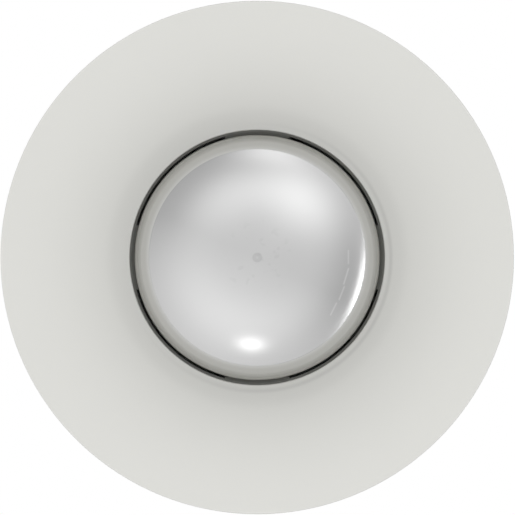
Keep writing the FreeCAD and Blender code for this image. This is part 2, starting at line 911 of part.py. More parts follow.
def build_power_board_screws():
    """Two screws through the power board into the bosses of the cup."""
    body = new_body("power_board_screws")
    x = cup_boss_place * cosine(s.cup_boss_turn)
    y = cup_boss_place * sine(s.cup_boss_turn)
    features = screw(body, x, y, s.board_screw_radius, s.board_head_radius, s.board_head_height,
                     power_front, power_front, power_front + s.board_screw_grip - s.play)
    ring_of(body, features, 2)
    return body


def can_leads():
    """Places of the three leads of the north can where they pass the sensor board."""
    fall = s.can_lead_drop
    far = s.sensor_place + s.can_lead_circle * cosine(s.sensor_tilt) - fall * sine(s.sensor_tilt)
    near = s.sensor_place - fall * sine(s.sensor_tilt)
    return [(size(0), far), (s.can_lead_circle, near), (-s.can_lead_circle, near)]


def carrier_level(radius):
    """Height of the sloping seat of the sensor carrier at a distance from the axis."""
    slope = (s.carrier_half - radius) * sine(s.sensor_tilt) / cosine(s.sensor_tilt)
    return board_front - s.carrier_foot - slope


def plug_places():
    """Places of the pins of the board to board connector."""
    return [(s.plug_pitch * (index - 2.5), -plug_place) for index in range(6)]


def receiver_places():
    """Places of the three leads of the remote receiver."""
    return [(-receiver_place, s.receiver_pitch * step) for step in (-1, 0, 1)]


def build_sensor_board():
    """Round board under the lens."""
    body = new_body("sensor_board")
    disc = new_sketch(body, "BoardProfile", lift=board_front + s.seat_clearance)
    circle(disc, 0, 0, shell_bore - s.sensor_board_gap)
    for angle in (90, 210, 330):
        x, y = polar(sensor_boss_place, angle)
        circle(disc, x, y, s.board_screw_radius + s.screw_clearance)
    for x, y in plug_places():
        circle(disc, x, y, s.plug_pin / 2)
    for x, y in receiver_places():
        circle(disc, x, y, s.receiver_lead + s.lead_clearance)
    lead = s.can_lead_radius + s.lead_clearance
    for x, y in can_leads():
        for place in ((x, y), (y, -x), (-x, -y), (-y, x)):
            circle(disc, place[0], place[1], lead)
    pad(body, disc, s.board_wall - s.seat_clearance)
    return body


def build_sensor_carrier():
    """Moulded holder with four sloping seats and a well behind each."""
    body = new_body("sensor_carrier")
    foot = board_front - s.carrier_foot
    box(body, 0, 0, s.carrier_half * 2, s.carrier_half * 2, foot, board_front)
    base = new_sketch(body, "SlopeBase", lift=foot)
    block(base, 0, 0, s.carrier_half * 2, s.carrier_half * 2)
    crown = new_sketch(body, "SlopeCrown", lift=carrier_level(s.carrier_top_half))
    block(crown, 0, 0, s.carrier_top_half * 2, s.carrier_top_half * 2)
    slope = body.newObject("PartDesign::AdditiveLoft", "Slopes")
    slope.Profile = base
    slope.Sections = [crown]
    slope.Ruled = True
    well = drill(body, s.sensor_place, 0, s.sensor_well, carrier_level(size(0)), board_front + s.play)
    ring_of(body, [well], 4)
    return body


def build_pir_sensor(name, turn):
    """Sealed can with a square window and three leads bent down to the board."""
    body = new_body(name)
    section = new_sketch(body, "CanSection", "XZ_Plane")
    outline(section, [
        (0, 0),
        (s.can_flange, 0),
        (s.can_flange, s.can_flange_height),
        (s.can_radius, s.can_flange_height),
        (s.can_radius, s.can_height - s.can_rounding, s.can_rounding, 1),
        (s.can_radius - s.can_rounding, s.can_height),
        (0, s.can_height),
    ])
    turned(body, section)
    window = new_sketch(body, "Window", lift=s.can_height - s.can_window_depth)
    block(window, 0, 0, s.can_window, s.can_window)
    cut(body, window, s.can_window_depth + s.play)
    tail = board_back + s.lead_tail
    seat = carrier_level(s.sensor_place)
    for start, offset in ((-s.can_lead_circle, 0), (0, -1), (0, 1)):
        start = size(start)
        shift = s.can_lead_circle * offset
        bend = seat - start * sine(s.sensor_tilt) + s.can_lead_drop * cosine(s.sensor_tilt)
        run = tail - bend
        profile = new_sketch(body, "LeadProfile", lift=s.play)
        circle(profile, start, shift, s.can_lead_radius)
        path = new_sketch(body, "LeadPath", "XZ_Plane", lift=-shift)
        corners = [
            (start, s.play),
            (start, -s.can_lead_drop),
            (start - run * sine(s.sensor_tilt), -s.can_lead_drop - run * cosine(s.sensor_tilt)),
        ]
        corners = [(size(x), size(y)) for x, y in corners]
        for (xa, ya), (xb, yb) in zip(corners, corners[1:]):
            line = Part.LineSegment(Vector(xa.value, ya.value, 0), Vector(xb.value, yb.value, 0))
            edge = path.addGeometry(line, False)
            pin_point(path, edge, 1, xa, ya)
            pin_point(path, edge, 2, xb, yb)
        lead = body.newObject("PartDesign::AdditivePipe", "Lead")
        lead.Profile = profile
        lead.Spine = (path, ["Edge1", "Edge2"])
        lead.Transition = "Right corner"
    facing = Rotation(Vector(0, 0, 1), turn) * Rotation(Vector(0, 1, 0), 180 - s.sensor_tilt.value)
    x, y = polar(s.sensor_place, turn)
    body.Placement = FreeCAD.Placement(Vector(x.value, y.value, seat.value), facing)
    for axis, value in (("x", x), ("y", y), ("z", seat)):
        body.setExpression(f"Placement.Base.{axis}", value.text)
    return body


def build_ir_receiver():
    """Remote receiver: epoxy block with a round lens and three leads."""
    body = new_body("ir_receiver")
    front = board_front - s.receiver_height
    box(body, -receiver_place, 0, s.receiver_length, s.receiver_width, front, board_front)
    section = new_sketch(body, "ReceiverLens", "XZ_Plane")
    outline(section, [
        (-receiver_place, front + s.play),
        (-receiver_place - s.receiver_lens, front + s.play),
        (-receiver_place - s.receiver_lens, front, s.receiver_lens, 1),
        (-receiver_place, front - s.receiver_lens),
    ])
    dome = body.newObject("PartDesign::Revolution", "Dome")
    dome.Profile = section
    dome.ReferenceAxis = (section, ["Edge4"])
    dome.Angle = 360.0
    for x, y in receiver_places():
        stud(body, x, y, s.receiver_lead, front + s.play, board_back + s.lead_tail)
    return body


def build_light_sensor():
    """Daylight sensor: flat package with a round window."""
    body = new_body("light_sensor")
    front = board_front - s.light_height
    box(body, light_place, 0, s.light_length, s.light_width, front, board_front)
    drill(body, light_place, 0, s.light_window, front - s.play, front + s.light_window_depth)
    return body


def build_status_led():
    """Indicator: square base with a small dome."""
    body = new_body("status_led")
    front = board_front - s.led_height
    box(body, 0, led_place, s.led_side, s.led_side, front, board_front)
    section = new_sketch(body, "LedDome", "YZ_Plane")
    outline(section, [
        (led_place, front + s.play),
        (led_place + s.led_dome, front + s.play),
        (led_place + s.led_dome, front, s.led_dome, -1),
        (led_place, front - s.led_dome),
    ])
    dome = body.newObject("PartDesign::Revolution", "Dome")
    dome.Profile = section
    dome.ReferenceAxis = (section, ["Edge4"])
    dome.Angle = 360.0
    return body


def build_microcontroller():
    """Square leaded chip, eight bent legs on each side."""
    body = new_body("microcontroller")
    base = s.chip_stand
    box(body, 0, 0, s.chip_side, s.chip_side, base, base + s.chip_height)
    edge = s.chip_side / 2
    middle = base + s.chip_height / 2
    legs = []
    for index in range(8):
        leg = new_sketch(body, "LegSection", "XZ_Plane", lift=s.chip_leg_pitch * (index - 3.5))
        bend = edge + s.chip_leg_reach / 2
        end = edge + s.chip_leg_reach
        outline(leg, [
            (edge - s.play, middle),
            (bend - s.chip_leg_wall, middle),
            (bend - s.chip_leg_wall, 0),
            (end, 0),
            (end, s.chip_leg_wall),
            (bend, s.chip_leg_wall),
            (bend, middle + s.chip_leg_wall),
            (edge - s.play, middle + s.chip_leg_wall),
        ])
        legs.append(pad(body, leg, s.chip_leg_width, both=True))
    ring_of(body, legs, 4)
    x, y = polar(s.chip_place, 45)
    place = (-x, y, board_back)
    body.Placement = FreeCAD.Placement(Vector(*(value.value for value in place)), Rotation())
    for axis, value in zip("xyz", place):
        body.setExpression(f"Placement.Base.{axis}", size(value).text)
    return body


def build_crystal():
    """Clock crystal in its pressed metal can."""
    body = new_body("crystal")
    for grow, low, high in ((0.5, 0.0, 0.15), (0.0, 0.1, 1.0)):
        profile = new_sketch(body, "CanProfile", lift=s.crystal_height * low)
        half = s.crystal_width / 2 + s.play * 4 * grow
        run = (s.crystal_length - s.crystal_width) / 2
        outline(profile, [
            (-run, -half),
            (run, -half, half, 1),
            (run, half),
            (-run, half, half, 1),
        ])
        pad(body, profile, s.crystal_height * (high - low))
    x, y = polar(s.crystal_place, 45)
    turn = Rotation(Vector(0, 0, 1), 135)
    body.Placement = FreeCAD.Placement(Vector(x.value, y.value, board_back.value), turn)
    for axis, value in zip("xyz", (x, y, board_back)):
        body.setExpression(f"Placement.Base.{axis}", value.text)
    return body


def build_board_socket():
    """Socket strip on the back of the sensor board, with soldered tails."""
    body = new_body("board_socket")
    length = s.plug_pitch * 6
    box(body, 0, -plug_place, length, s.plug_width, board_back, socket_top)
    wells = new_sketch(body, "Wells", lift=power_front - s.plug_base - s.plug_pin_reach - s.play)
    for x, y in plug_places():
        block(wells, x, y, s.plug_pin + 2 * s.plug_clearance, s.plug_pin + 2 * s.plug_clearance)
    cut(body, wells, s.plug_pin_reach + 2 * s.play)
    tails = new_sketch(body, "Tails", lift=board_front - s.lead_tail)
    for x, y in plug_places():
        circle(tails, x, y, s.plug_pin / 2 - s.lead_clearance)
    pad(body, tails, s.board_wall + s.lead_tail + s.play)
    return body


def build_board_header():
    """Pin strip on the power board that plugs into the socket."""
    body = new_body("board_header")
    under = power_front - s.plug_base
    box(body, 0, -plug_place, s.plug_pitch * 6, s.plug_width, under, power_front)
    pins = new_sketch(body, "Pins", lift=under - s.plug_pin_reach)
    for x, y in plug_places():
        block(pins, x, y, s.plug_pin, s.plug_pin)
    pad(body, pins, s.plug_pin_reach + s.plug_base + s.board_wall + s.lead_tail)
    return body


# Leads that pass the power board: (x, y, radius) for each component


def relay_leads():
    """Two coil leads and three contact leads."""
    near, far = s.relay_x - s.relay_length * 0.4, s.relay_x + s.relay_length * 0.4
    side = s.relay_width * 0.39
    return [
        (near, s.relay_y - side, s.relay_lead),
        (near, s.relay_y + side, s.relay_lead),
        (near, s.relay_y, s.relay_lead),
        (far, s.relay_y - side, s.relay_lead),
        (far, s.relay_y + side, s.relay_lead),
    ]


def pair_along(x, y, pitch, radius, upright=False):
    """Two leads either side of a place."""
    half = pitch / 2
    if upright:
        return [(x, y - half, radius), (x, y + half, radius)]
    return [(x - half, y, radius), (x + half, y, radius)]


film_leads = pair_along(s.film_x, s.film_y, s.film_pitch, s.film_lead, True)
can_cap_leads = pair_along(can_cap_x, s.can_cap_y, s.can_cap_pitch, s.can_cap_lead, True)
disc_leads = pair_along(disc_x, s.disc_y, s.disc_pitch, s.disc_lead, True)
fuse_leads = pair_along(s.fuse_x, s.fuse_y, s.fuse_pitch, s.fuse_lead)
choke_leads = pair_along(choke_x, choke_y, s.choke_pitch, s.choke_lead)


def bridge_leads():
    """Four leads at the corners of a square."""
    half = s.bridge_pitch / 2
    row = s.bridge_width * 0.3
    return [(s.bridge_x + half * a, s.bridge_y + row * b, s.bridge_lead)
            for a, b in ((-1, -1), (1, -1), (1, 1), (-1, 1))]


def pole_place(index):
    """Middle of a terminal pole along the block."""
    return s.pole_pitch * (index - (s.pole_count.value - 1) / 2)


def clamp_tail_place():
    """Middle of the soldered tail of a terminal clamp."""
    return clamp_back + s.clamp_tail_wall / 2


def build_power_board():
    """Round board in the cup, holed for every lead that passes it."""
    body = new_body("power_board")
    disc = new_sketch(body, "BoardProfile", lift=power_front)
    circle(disc, 0, 0, cup_bore - s.power_board_gap)
    for turn in (s.cup_boss_turn, s.cup_boss_turn + 180):
        circle(disc, cup_boss_place * cosine(turn), cup_boss_place * sine(turn),
               s.board_screw_radius + s.screw_clearance)
    leads = relay_leads() + film_leads + can_cap_leads + disc_leads + fuse_leads
    for x, y, radius in leads + choke_leads + bridge_leads():
        circle(disc, x, y, radius + s.lead_clearance)
    for x, y in plug_places():
        block(disc, x, y, s.plug_pin + 2 * s.plug_clearance, s.plug_pin + 2 * s.plug_clearance)
    for index in range(int(s.pole_count.value)):
        block(disc, pole_place(index), clamp_tail_place(),
              s.clamp_tail_width + 2 * s.lead_clearance, s.clamp_tail_wall + 2 * s.lead_clearance)
    pad(body, disc, s.board_wall - s.seat_clearance)
    return body


def add_leads(body, leads, top):
    """Straight leads from inside a component through the power board."""
    tails = new_sketch(body, "Tails", lift=power_front - s.lead_tail)
    for x, y, radius in leads:
        circle(tails, x, y, radius)
    pad(body, tails, size(top) - power_front + s.lead_tail)


def build_relay():
    """Sealed relay with five leads."""
    body = new_body("relay")
    case = box(body, s.relay_x, s.relay_y, s.relay_length, s.relay_width, power_back,
               cup_roof - s.relay_headroom)
    doc.recompute()
    rounding = body.newObject("PartDesign::Fillet", "CaseRounding")
    upright = [f"Edge{number}" for number, edge in enumerate(case.Shape.Edges, start=1)
               if edge.BoundBox.ZMax > power_back.value + 0.1]
    rounding.Base = (case, upright)
    rounding.Radius = s.case_rounding.value
    rounding.setExpression("Radius", s.case_rounding.text)
    add_leads(body, relay_leads(), power_back + s.play)
    return body


def build_film_capacitor():
    """Mains film capacitor in a moulded case."""
    body = new_body("film_capacitor")
    case = box(body, s.film_x, s.film_y, s.film_width, s.film_length, power_back,
               power_back + s.film_height)
    doc.recompute()
    bevel = body.newObject("PartDesign::Chamfer", "CaseBevel")
    top = [f"Edge{number}" for number, edge in enumerate(case.Shape.Edges, start=1)
           if edge.BoundBox.ZMin > power_back.value + 0.1]
    bevel.Base = (case, top)
    bevel.Size = s.case_rounding.value
    bevel.setExpression("Size", s.case_rounding.text)
    add_leads(body, film_leads, power_back + s.play)
    return body


def turned_at(name, x, y, points):
    """Body of revolution about an upright line at a place."""
    body = new_body(name)
    section = new_sketch(body, "Section", "XZ_Plane", lift=-y)
    outline(section, [(x + point[0], *point[1:]) for point in points])
    shape = body.newObject("PartDesign::Revolution", "Turned")
    shape.Profile = section
    shape.ReferenceAxis = (section, [f"Edge{len(points)}"])
    shape.Angle = 360.0
    return body


def build_electrolytic_capacitor():
    """Smoothing can with a rolled groove above its seal."""
    radius, groove = s.can_cap_radius, s.can_cap_groove
    top = power_back + s.can_cap_height
    body = turned_at("electrolytic_capacitor", can_cap_x, s.can_cap_y, [
        (0, power_back),
        (radius, power_back),
        (radius, power_back + groove * 3),
        (radius - groove, power_back + groove * 4),
        (radius, power_back + groove * 5),
        (radius, top - groove),
        (radius - groove, top),
        (0, top),
    ])
    add_leads(body, can_cap_leads, power_back + s.play)
    return body


def build_choke():
    """Drum choke: winding between two flanges."""
    top = power_back + s.choke_height
    body = turned_at("choke", choke_x, choke_y, [
        (0, power_back),
        (s.choke_radius, power_back),
        (s.choke_radius, power_back + s.choke_flange),
        (s.choke_core + s.choke_flange / 2, power_back + s.choke_flange),
        (s.choke_core + s.choke_flange / 2, top - s.choke_flange),
        (s.choke_radius, top - s.choke_flange),
        (s.choke_radius, top),
        (0, top),
    ])
    add_leads(body, choke_leads, power_back + s.play)
    return body


def build_varistor():
    """Standing surge disc with two leads."""
    body = new_body("varistor")
    centre = power_back + s.disc_stand + s.disc_radius
    disc = new_sketch(body, "DiscProfile", "YZ_Plane", lift=disc_x)
    circle(disc, s.disc_y, centre, s.disc_radius)
    pad(body, disc, s.disc_width, both=True)
    add_leads(body, disc_leads, centre)
    return body


def build_bridge_rectifier():
    """Moulded rectifier with four leads."""
    body = new_body("bridge_rectifier")
    box(body, s.bridge_x, s.bridge_y, s.bridge_length, s.bridge_width, power_back,
        power_back + s.bridge_height)
    add_leads(body, bridge_leads(), power_back + s.play)
    return body


def build_fusible_resistor():
    """Axial input resistor lying on the board, its leads bent down at both ends."""
    body = new_body("fusible_resistor")
    level = power_back + s.fuse_radius
    section = new_sketch(body, "ResistorSection", "XZ_Plane", lift=-s.fuse_y)
    low, high = s.fuse_x - s.fuse_length / 2, s.fuse_x + s.fuse_length / 2
    bead = s.fuse_length * 0.2
    waist = level + s.fuse_radius * 0.85
    outline(section, [
        (low, level),
        (high, level),
        (high, level + s.fuse_radius),
        (high - bead, level + s.fuse_radius),
        (high - bead, waist),
        (low + bead, waist),
        (low + bead, level + s.fuse_radius),
        (low, level + s.fuse_radius),
    ])
    shape = body.newObject("PartDesign::Revolution", "Turned")
    shape.Profile = section
    shape.ReferenceAxis = (section, ["Edge1"])
    shape.Angle = 360.0
    wire = new_sketch(body, "WireProfile", "YZ_Plane", lift=s.fuse_x)
    circle(wire, s.fuse_y, level, s.fuse_lead)
    pad(body, wire, s.fuse_pitch + 2 * s.fuse_lead, both=True)
    add_leads(body, fuse_leads, level)
    return body


def build_terminal_block():
    """Four-way block: wires enter from behind, screws face the side window."""
    body = new_body("terminal_block")
    middle = (block_front + block_back) / 2
    box(body, 0, middle, block_half * 2, s.block_depth, power_back, s.cup_step_height)
    cavities = new_sketch(body, "ClampCavities", lift=power_back - s.play)
    wires = new_sketch(body, "WireHoles", lift=s.clamp_top - s.play)
    screws = new_sketch(body, "ScrewHoles", "XZ_Plane", lift=-(block_front + s.play))
    clamp_middle = clamp_back + s.clamp_depth / 2
    screw_level = s.clamp_top - s.clamp_height / 2
    for index in range(int(s.pole_count.value)):
        place = pole_place(index)
        block(cavities, place, clamp_middle, s.clamp_side + s.play * 2, s.clamp_depth + s.play * 2)
        circle(wires, place, clamp_middle, s.wire_hole_radius)
        circle(screws, place, screw_level, s.terminal_head_radius + s.screw_clearance)
    cut(body, cavities, s.clamp_top - power_back + s.play)
    cut(body, wires, s.cup_step_height - s.clamp_top + s.play * 2)
    cut(body, screws, block_front - clamp_middle)
    return body


def build_terminal_clamps():
    """Four metal cages, each open for the wire, with a tail soldered to the board."""
    body = new_body("terminal_clamps")
    middle = clamp_back + s.clamp_depth / 2
    top = s.clamp_top - s.seat_clearance
    cages = new_sketch(body, "CageProfile", lift=s.clamp_top - s.clamp_height)
    openings = new_sketch(body, "CageOpenings", lift=s.clamp_top - s.clamp_height - s.play)
    tails = new_sketch(body, "CageTails", lift=power_front - s.lead_tail)
    holes = new_sketch(body, "CageScrewHoles", "XZ_Plane", lift=-(middle + s.clamp_depth))
    for index in range(int(s.pole_count.value)):
        place = pole_place(index)
        block(cages, place, middle, s.clamp_side, s.clamp_depth)
        block(openings, place, middle - s.clamp_tail_wall / 2, s.clamp_opening,
              s.clamp_depth - 3 * s.clamp_tail_wall)
        block(tails, place, clamp_tail_place(), s.clamp_tail_width, s.clamp_tail_wall)
        circle(holes, place, s.clamp_top - s.clamp_height / 2,
               s.terminal_screw_radius + s.thread_clearance)
    pad(body, cages, top - s.clamp_top + s.clamp_height)
    cut(body, openings, s.clamp_height + s.play * 2)
    pad(body, tails, s.clamp_top - s.clamp_height - power_front + s.lead_tail + s.play)
    cut(body, holes, s.clamp_depth)
    return body


def build_terminal_screws():
    """Four slotted screws in the side face of the block, tightened into the clamps."""
    body = new_body("terminal_screws")
    level = s.clamp_top - s.clamp_height / 2
    outside = block_front - s.terminal_screw_sink
    heads = new_sketch(body, "HeadProfile", "XZ_Plane", lift=-outside)
    shanks = new_sketch(body, "ShankProfile", "XZ_Plane", lift=-(outside - s.play))
    slots = new_sketch(body, "SlotProfile", "XZ_Plane", lift=-(outside + s.play))
    clamp_front = clamp_back + s.clamp_depth
    tip = clamp_front - 2.5 * s.clamp_tail_wall
    for index in range(int(s.pole_count.value)):
        place = pole_place(index)
        circle(heads, place, level, s.terminal_head_radius)
        circle(shanks, place, level, s.terminal_screw_radius)
        block(slots, place, level, s.terminal_head_radius * 2.2, s.recess_width)
    pad(body, heads, s.terminal_head_height)
    pad(body, shanks, outside - s.play - tip)
    cut(body, slots, s.recess_depth + s.play)
    return body


PARTS = [
    build_cover_ring(),
    build_lens_dome(),
    build_front_housing(),
    build_support_frame(),
    build_rear_housing(),
    build_housing_screws(),
    build_sensor_board_screws(),
    build_power_board_screws(),
    build_sensor_board(),
    build_sensor_carrier(),
    build_pir_sensor("pir_sensor_east", 0),
    build_pir_sensor("pir_sensor_north", 90),
    build_pir_sensor("pir_sensor_west", 180),
    build_pir_sensor("pir_sensor_south", 270),
    build_ir_receiver(),
    build_light_sensor(),
    build_status_led(),
    build_microcontroller(),
    build_crystal(),
    build_board_socket(),
    build_board_header(),
    build_power_board(),
    build_relay(),
    build_film_capacitor(),
    build_electrolytic_capacitor(),
    build_varistor(),
    build_bridge_rectifier(),
    build_fusible_resistor(),
    build_choke(),
    build_terminal_block(),
    build_terminal_clamps(),
    build_terminal_screws(),
]

doc.recompute()

failed = [item for item in doc.Objects if "Invalid" in item.State or "Error" in item.State]
if failed:
    names = [f"{item.getParentGeoFeatureGroup().Label}/{item.Label}" for item in failed]
    raise RuntimeError("not built: " + ", ".join(names))

os.makedirs("parts", exist_ok=True)
for part in PARTS:
    shape = part.Shape
    if shape.isNull() or not shape.isValid() or shape.Volume <= 0:
        raise RuntimeError(f"{part.Label} has no valid solid")
    shape.exportStep(os.path.join("parts", part.Label + ".step"))
    print(part.Label, len(shape.Solids), round(shape.Volume, 1))
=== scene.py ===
import math

import bpy
from bpy.props import FloatProperty, FloatVectorProperty, PointerProperty
from bpy.types import Operator, Panel, PropertyGroup
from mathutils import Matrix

bl_info = {
    "name": "Presence detector finish",
    "version": (1, 0, 0),
    "blender": (4, 5, 0),
    "location": "3D View > Sidebar > Detector",
    "description": "Dresses a ceiling presence detector and sets up its studio",
    "category": "Object",
}

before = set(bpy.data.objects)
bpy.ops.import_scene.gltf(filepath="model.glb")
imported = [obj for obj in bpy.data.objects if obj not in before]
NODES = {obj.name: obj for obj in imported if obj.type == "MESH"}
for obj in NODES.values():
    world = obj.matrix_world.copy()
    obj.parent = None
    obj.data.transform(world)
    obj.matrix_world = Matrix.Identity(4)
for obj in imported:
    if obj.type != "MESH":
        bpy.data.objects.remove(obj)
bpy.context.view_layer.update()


# Settings


def colour_setting(name, description, red, green, blue):
    """A colour that a user can change."""
    return FloatVectorProperty(name=name, description=description, subtype="COLOR", size=3,
                               min=0.0, max=1.0, default=(red, green, blue))


def share_setting(name, description, value, top=1.0):
    """A plain number from nought to its top."""
    return FloatProperty(name=name, description=description, min=0.0, max=top, default=value)


def length_setting(name, description, value):
    """A length in metres."""
    return FloatProperty(name=name, description=description, min=-10.0, max=20.0, default=value,
                         precision=5, subtype="DISTANCE", unit="LENGTH")


class CoverSettings(PropertyGroup):
    """Finish of the white flared cover"""

    colour: colour_setting("Colour", "Warm white of the moulding", 0.716, 0.715, 0.685)
    roughness: share_setting("Roughness", "Satin of the moulding", 0.5)
    shine: share_setting("Shine", "Strength of its soft reflections", 0.06)
    grain: share_setting("Grain", "Depth of the fine moulded grain", 0.05)
    # Depth and radius of a painted shade ring just outside the lip
    painted_shade_ring: share_setting("Shade ring", "Depth of the dull line outside the lip", 0.12)
    painted_shade_radius: length_setting("Sink radius", "Radius of the dull line", 0.0271)
    # Painted light: a paler outer edge, against the shading where the rounded rim turns away
    edge_painted_light: colour_setting("Edge light", "Outer edge of the moulding", 0.765, 0.765, 0.735)
    edge_radius: length_setting("Edge radius", "Where the outer edge starts", 0.0521)
    throat: share_setting("Throat", "Shade towards the opening", 0.04)
    throat_radius: length_setting("Throat radius", "Where that shade ends", 0.0315)
    # Painted shade: a dark line along the front edge of the opening
    bore_painted_shade: share_setting("Bore shade", "Dull line along the opening", 0.38)
    bore_radius: length_setting("Bore radius", "Radius of the opening", 0.02592)
    bore_level: length_setting("Bore level", "Height at which the dull line ends", -0.0175)


class LensSettings(PropertyGroup):
    """Finish of the milky lens"""

    cap_colour: colour_setting("Cap colour", "Milky grey of the polished cap", 0.44, 0.44, 0.44)
    band_colour: colour_setting("Band colour", "Warm grey of the matt band", 0.508, 0.506, 0.478)
    # Painted highlight: a paler fillet round the cap, where it faces the light
    fillet_highlight: colour_setting("Fillet highlight", "Bright fillet round the cap", 0.60, 0.60, 0.58)
    foot_colour: colour_setting("Foot colour", "Thicker foot of the band", 0.505, 0.503, 0.475)
    # Painted light: a bright foot edge, against the shading where the foot turns away
    edge_painted_light: colour_setting("Edge light", "Thin bright edge of the foot", 0.90, 0.895, 0.86)
    gate_colour: colour_setting("Gate colour", "Gate mark at the crown", 0.37, 0.37, 0.37)
    cap_radius: length_setting("Cap radius", "Where the polished cap ends", 0.02197)
    shoulder_radius: length_setting("Shoulder radius", "Where the foot of the band starts", 0.0236)
    edge_radius: length_setting("Edge radius", "Where the edge of the foot starts", 0.0242)
    gate_radius: length_setting("Gate radius", "Radius of the gate mark", 0.00097)
    gloss: share_setting("Cap roughness", "Polish of the cap", 0.13)
    index: share_setting("Refractive index", "Strength of the reflections of the cap", 1.95, 3.0)
    band_shine: share_setting("Band shine", "Strength of the soft reflections of the band", 0.1)
    specks: share_setting("Specks", "Strength of the faint specks round the gate", 0.06)


class HousingSettings(PropertyGroup):
    """Finish of the dark front housing"""

    colour: colour_setting("Colour", "Dark grey of the moulding", 0.17, 0.172, 0.16)
    rim_colour: colour_setting("Rim colour", "Ledge next to the cover", 0.245, 0.247, 0.232)
    rim_radius: length_setting("Rim radius", "Where the ledge turns paler", 0.02537)
    # Painted shade: the slots are coloured dark below a height, where light does not reach
    slot_painted_shade: colour_setting("Slot shade", "Inside of the slots", 0.06, 0.06, 0.06)
    slot_level: length_setting("Slot level", "Height at which the slots turn dark", -0.0127)
    roughness: share_setting("Roughness", "Matt of the moulding", 0.62)
    shine: share_setting("Shine", "Strength of its soft reflections", 0.2)


class BackSettings(PropertyGroup):
    """Finishes of the steel frame, the cup, the screws and the terminals"""

    zinc_colour: colour_setting("Zinc", "Zinc plated sheet", 0.60, 0.60, 0.58)
    screw_colour: colour_setting("Screws", "Zinc plated screws", 0.58, 0.57, 0.53)
    brass_colour: colour_setting("Clamps", "Tinned brass cages", 0.55, 0.53, 0.48)
    cup_colour: colour_setting("Cup", "Grey moulding in the ceiling box", 0.36, 0.37, 0.37)
    roof_level: length_setting("Roof level", "Height of the roof of the cup", 0.0226)
    block_colour: colour_setting("Block", "Light grey terminal block", 0.50, 0.50, 0.48)
    spangle: length_setting("Spangle", "Size of the zinc crystals", 0.0012)


class BoardSettings(PropertyGroup):
    """Finish of the two circuit boards"""

    mask_colour: colour_setting("Mask", "Green solder mask", 0.03, 0.17, 0.07)
    track_colour: colour_setting("Tracks", "Mask over copper", 0.05, 0.26, 0.10)
    track_pitch: length_setting("Track pitch", "Spacing of the copper areas", 0.0022)


class StageSettings(PropertyGroup):
    """Camera, floor and studio light"""

    distance: length_setting("Camera distance", "From the rim of the cover", 1.7551)
    rim_level: length_setting("Rim level", "Height of the rim of the cover", -0.0024)
    side_step: length_setting("Side step", "Camera to the right of the axis", 0.00006)
    focal_length: FloatProperty(name="Focal length", description="Lens of the camera",
                                min=10.0, max=2000.0, default=600.0, subtype="DISTANCE_CAMERA")
    floor_level: length_setting("Floor level", "Height of the pale floor", -2.6)
    floor_radius: length_setting("Floor radius", "Reach of the pale floor", 14.0)
    floor_colour: colour_setting("Floor colour", "Pale floor", 0.85, 0.85, 0.85)
    front_light: share_setting("Front light", "Level along the camera axis", 1.15, 10.0)
    side_light: share_setting("Side light", "Level all over the front", 0.23, 10.0)
    left_light: share_setting("Left light", "How much brighter the left is", 0.035)
    upper_light: share_setting("Upper light", "How much brighter the upper side is", 0.015)
    cross_light: share_setting("Cross light", "How much brighter left and right are", 0.2)
    back_light: share_setting("Back light", "Level all over the back", 0.35, 10.0)
    front_gloss: share_setting("Front gloss", "Level that shines from the front", 1.5, 10.0)
    side_gloss: share_setting("Side gloss", "Level that shines from the side", 0.15, 10.0)
    back_gloss: share_setting("Back gloss", "Level that shines on the back", 0.5, 10.0)
    top_light: share_setting("Top light", "Power of the lamp above, in watts", 9.0, 1000.0)


# Node trees


# Spacing of the nodes in the editor, and how many rows they fill
COLUMN_WIDTH = 180
ROW_HEIGHT = 40
ROWS = 5


class Tree:
    """Adds and joins the nodes of one node tree."""

    def __init__(self, tree):
        self.tree = tree
        tree.nodes.clear()
        self.column = 0

    def add(self, kind, **settings):
        """One node, its plain settings given by name."""
        node = self.tree.nodes.new(kind)
        node.location = (COLUMN_WIDTH * self.column, -ROW_HEIGHT * (self.column % ROWS))
        self.column += 1
        for name, value in settings.items():
            setattr(node, name, value)
        return node

    def feed(self, socket, value):
        """Join an output to an input, or set the input."""
        if isinstance(value, bpy.types.NodeSocket):
            self.tree.links.new(value, socket)
        elif isinstance(value, tuple) and len(value) == 3 and len(socket.default_value) == 4:
            socket.default_value = (*value, 1.0)
        else:
            socket.default_value = value

    def fill(self, node, **values):
        """Feed inputs by name, underscores standing for spaces."""
        for name, value in values.items():
            self.feed(node.inputs[name.replace("_", " ")], value)
        return node

    def math(self, operation, *values):
        """A Math node."""
        node = self.add("ShaderNodeMath", operation=operation)
        for socket, value in zip(node.inputs, values):
            self.feed(socket, value)
        return node.outputs[0]

    def step(self, value, low, high, from_value=0.0, to_value=1.0):
        """A smooth step between two values."""
        node = self.add("ShaderNodeMapRange", interpolation_type="SMOOTHSTEP")
        self.fill(node, Value=value, From_Min=low, From_Max=high, To_Min=from_value,
                  To_Max=to_value)
        return node.outputs["Result"]

    def mix(self, factor, one, other):
        """A colour mix."""
        node = self.add("ShaderNodeMix", data_type="RGBA")
        self.feed(node.inputs["Factor"], factor)
        self.feed(node.inputs[6], one)
        self.feed(node.inputs[7], other)
        return node.outputs[2]

    def noise(self, vector, scale, detail=2.0):
        """Noise between nought and one."""
        node = self.add("ShaderNodeTexNoise")
        self.fill(node, Vector=vector, Scale=scale, Detail=detail)
        return node.outputs["Fac"]

    def object_place(self):
        """Coordinates on the object."""
        return self.add("ShaderNodeTexCoord").outputs["Object"]

    def group(self, group, **values):
        """A shared effect with its own values."""
        node = self.add("ShaderNodeGroup", node_tree=group)
        return self.fill(node, **values).outputs


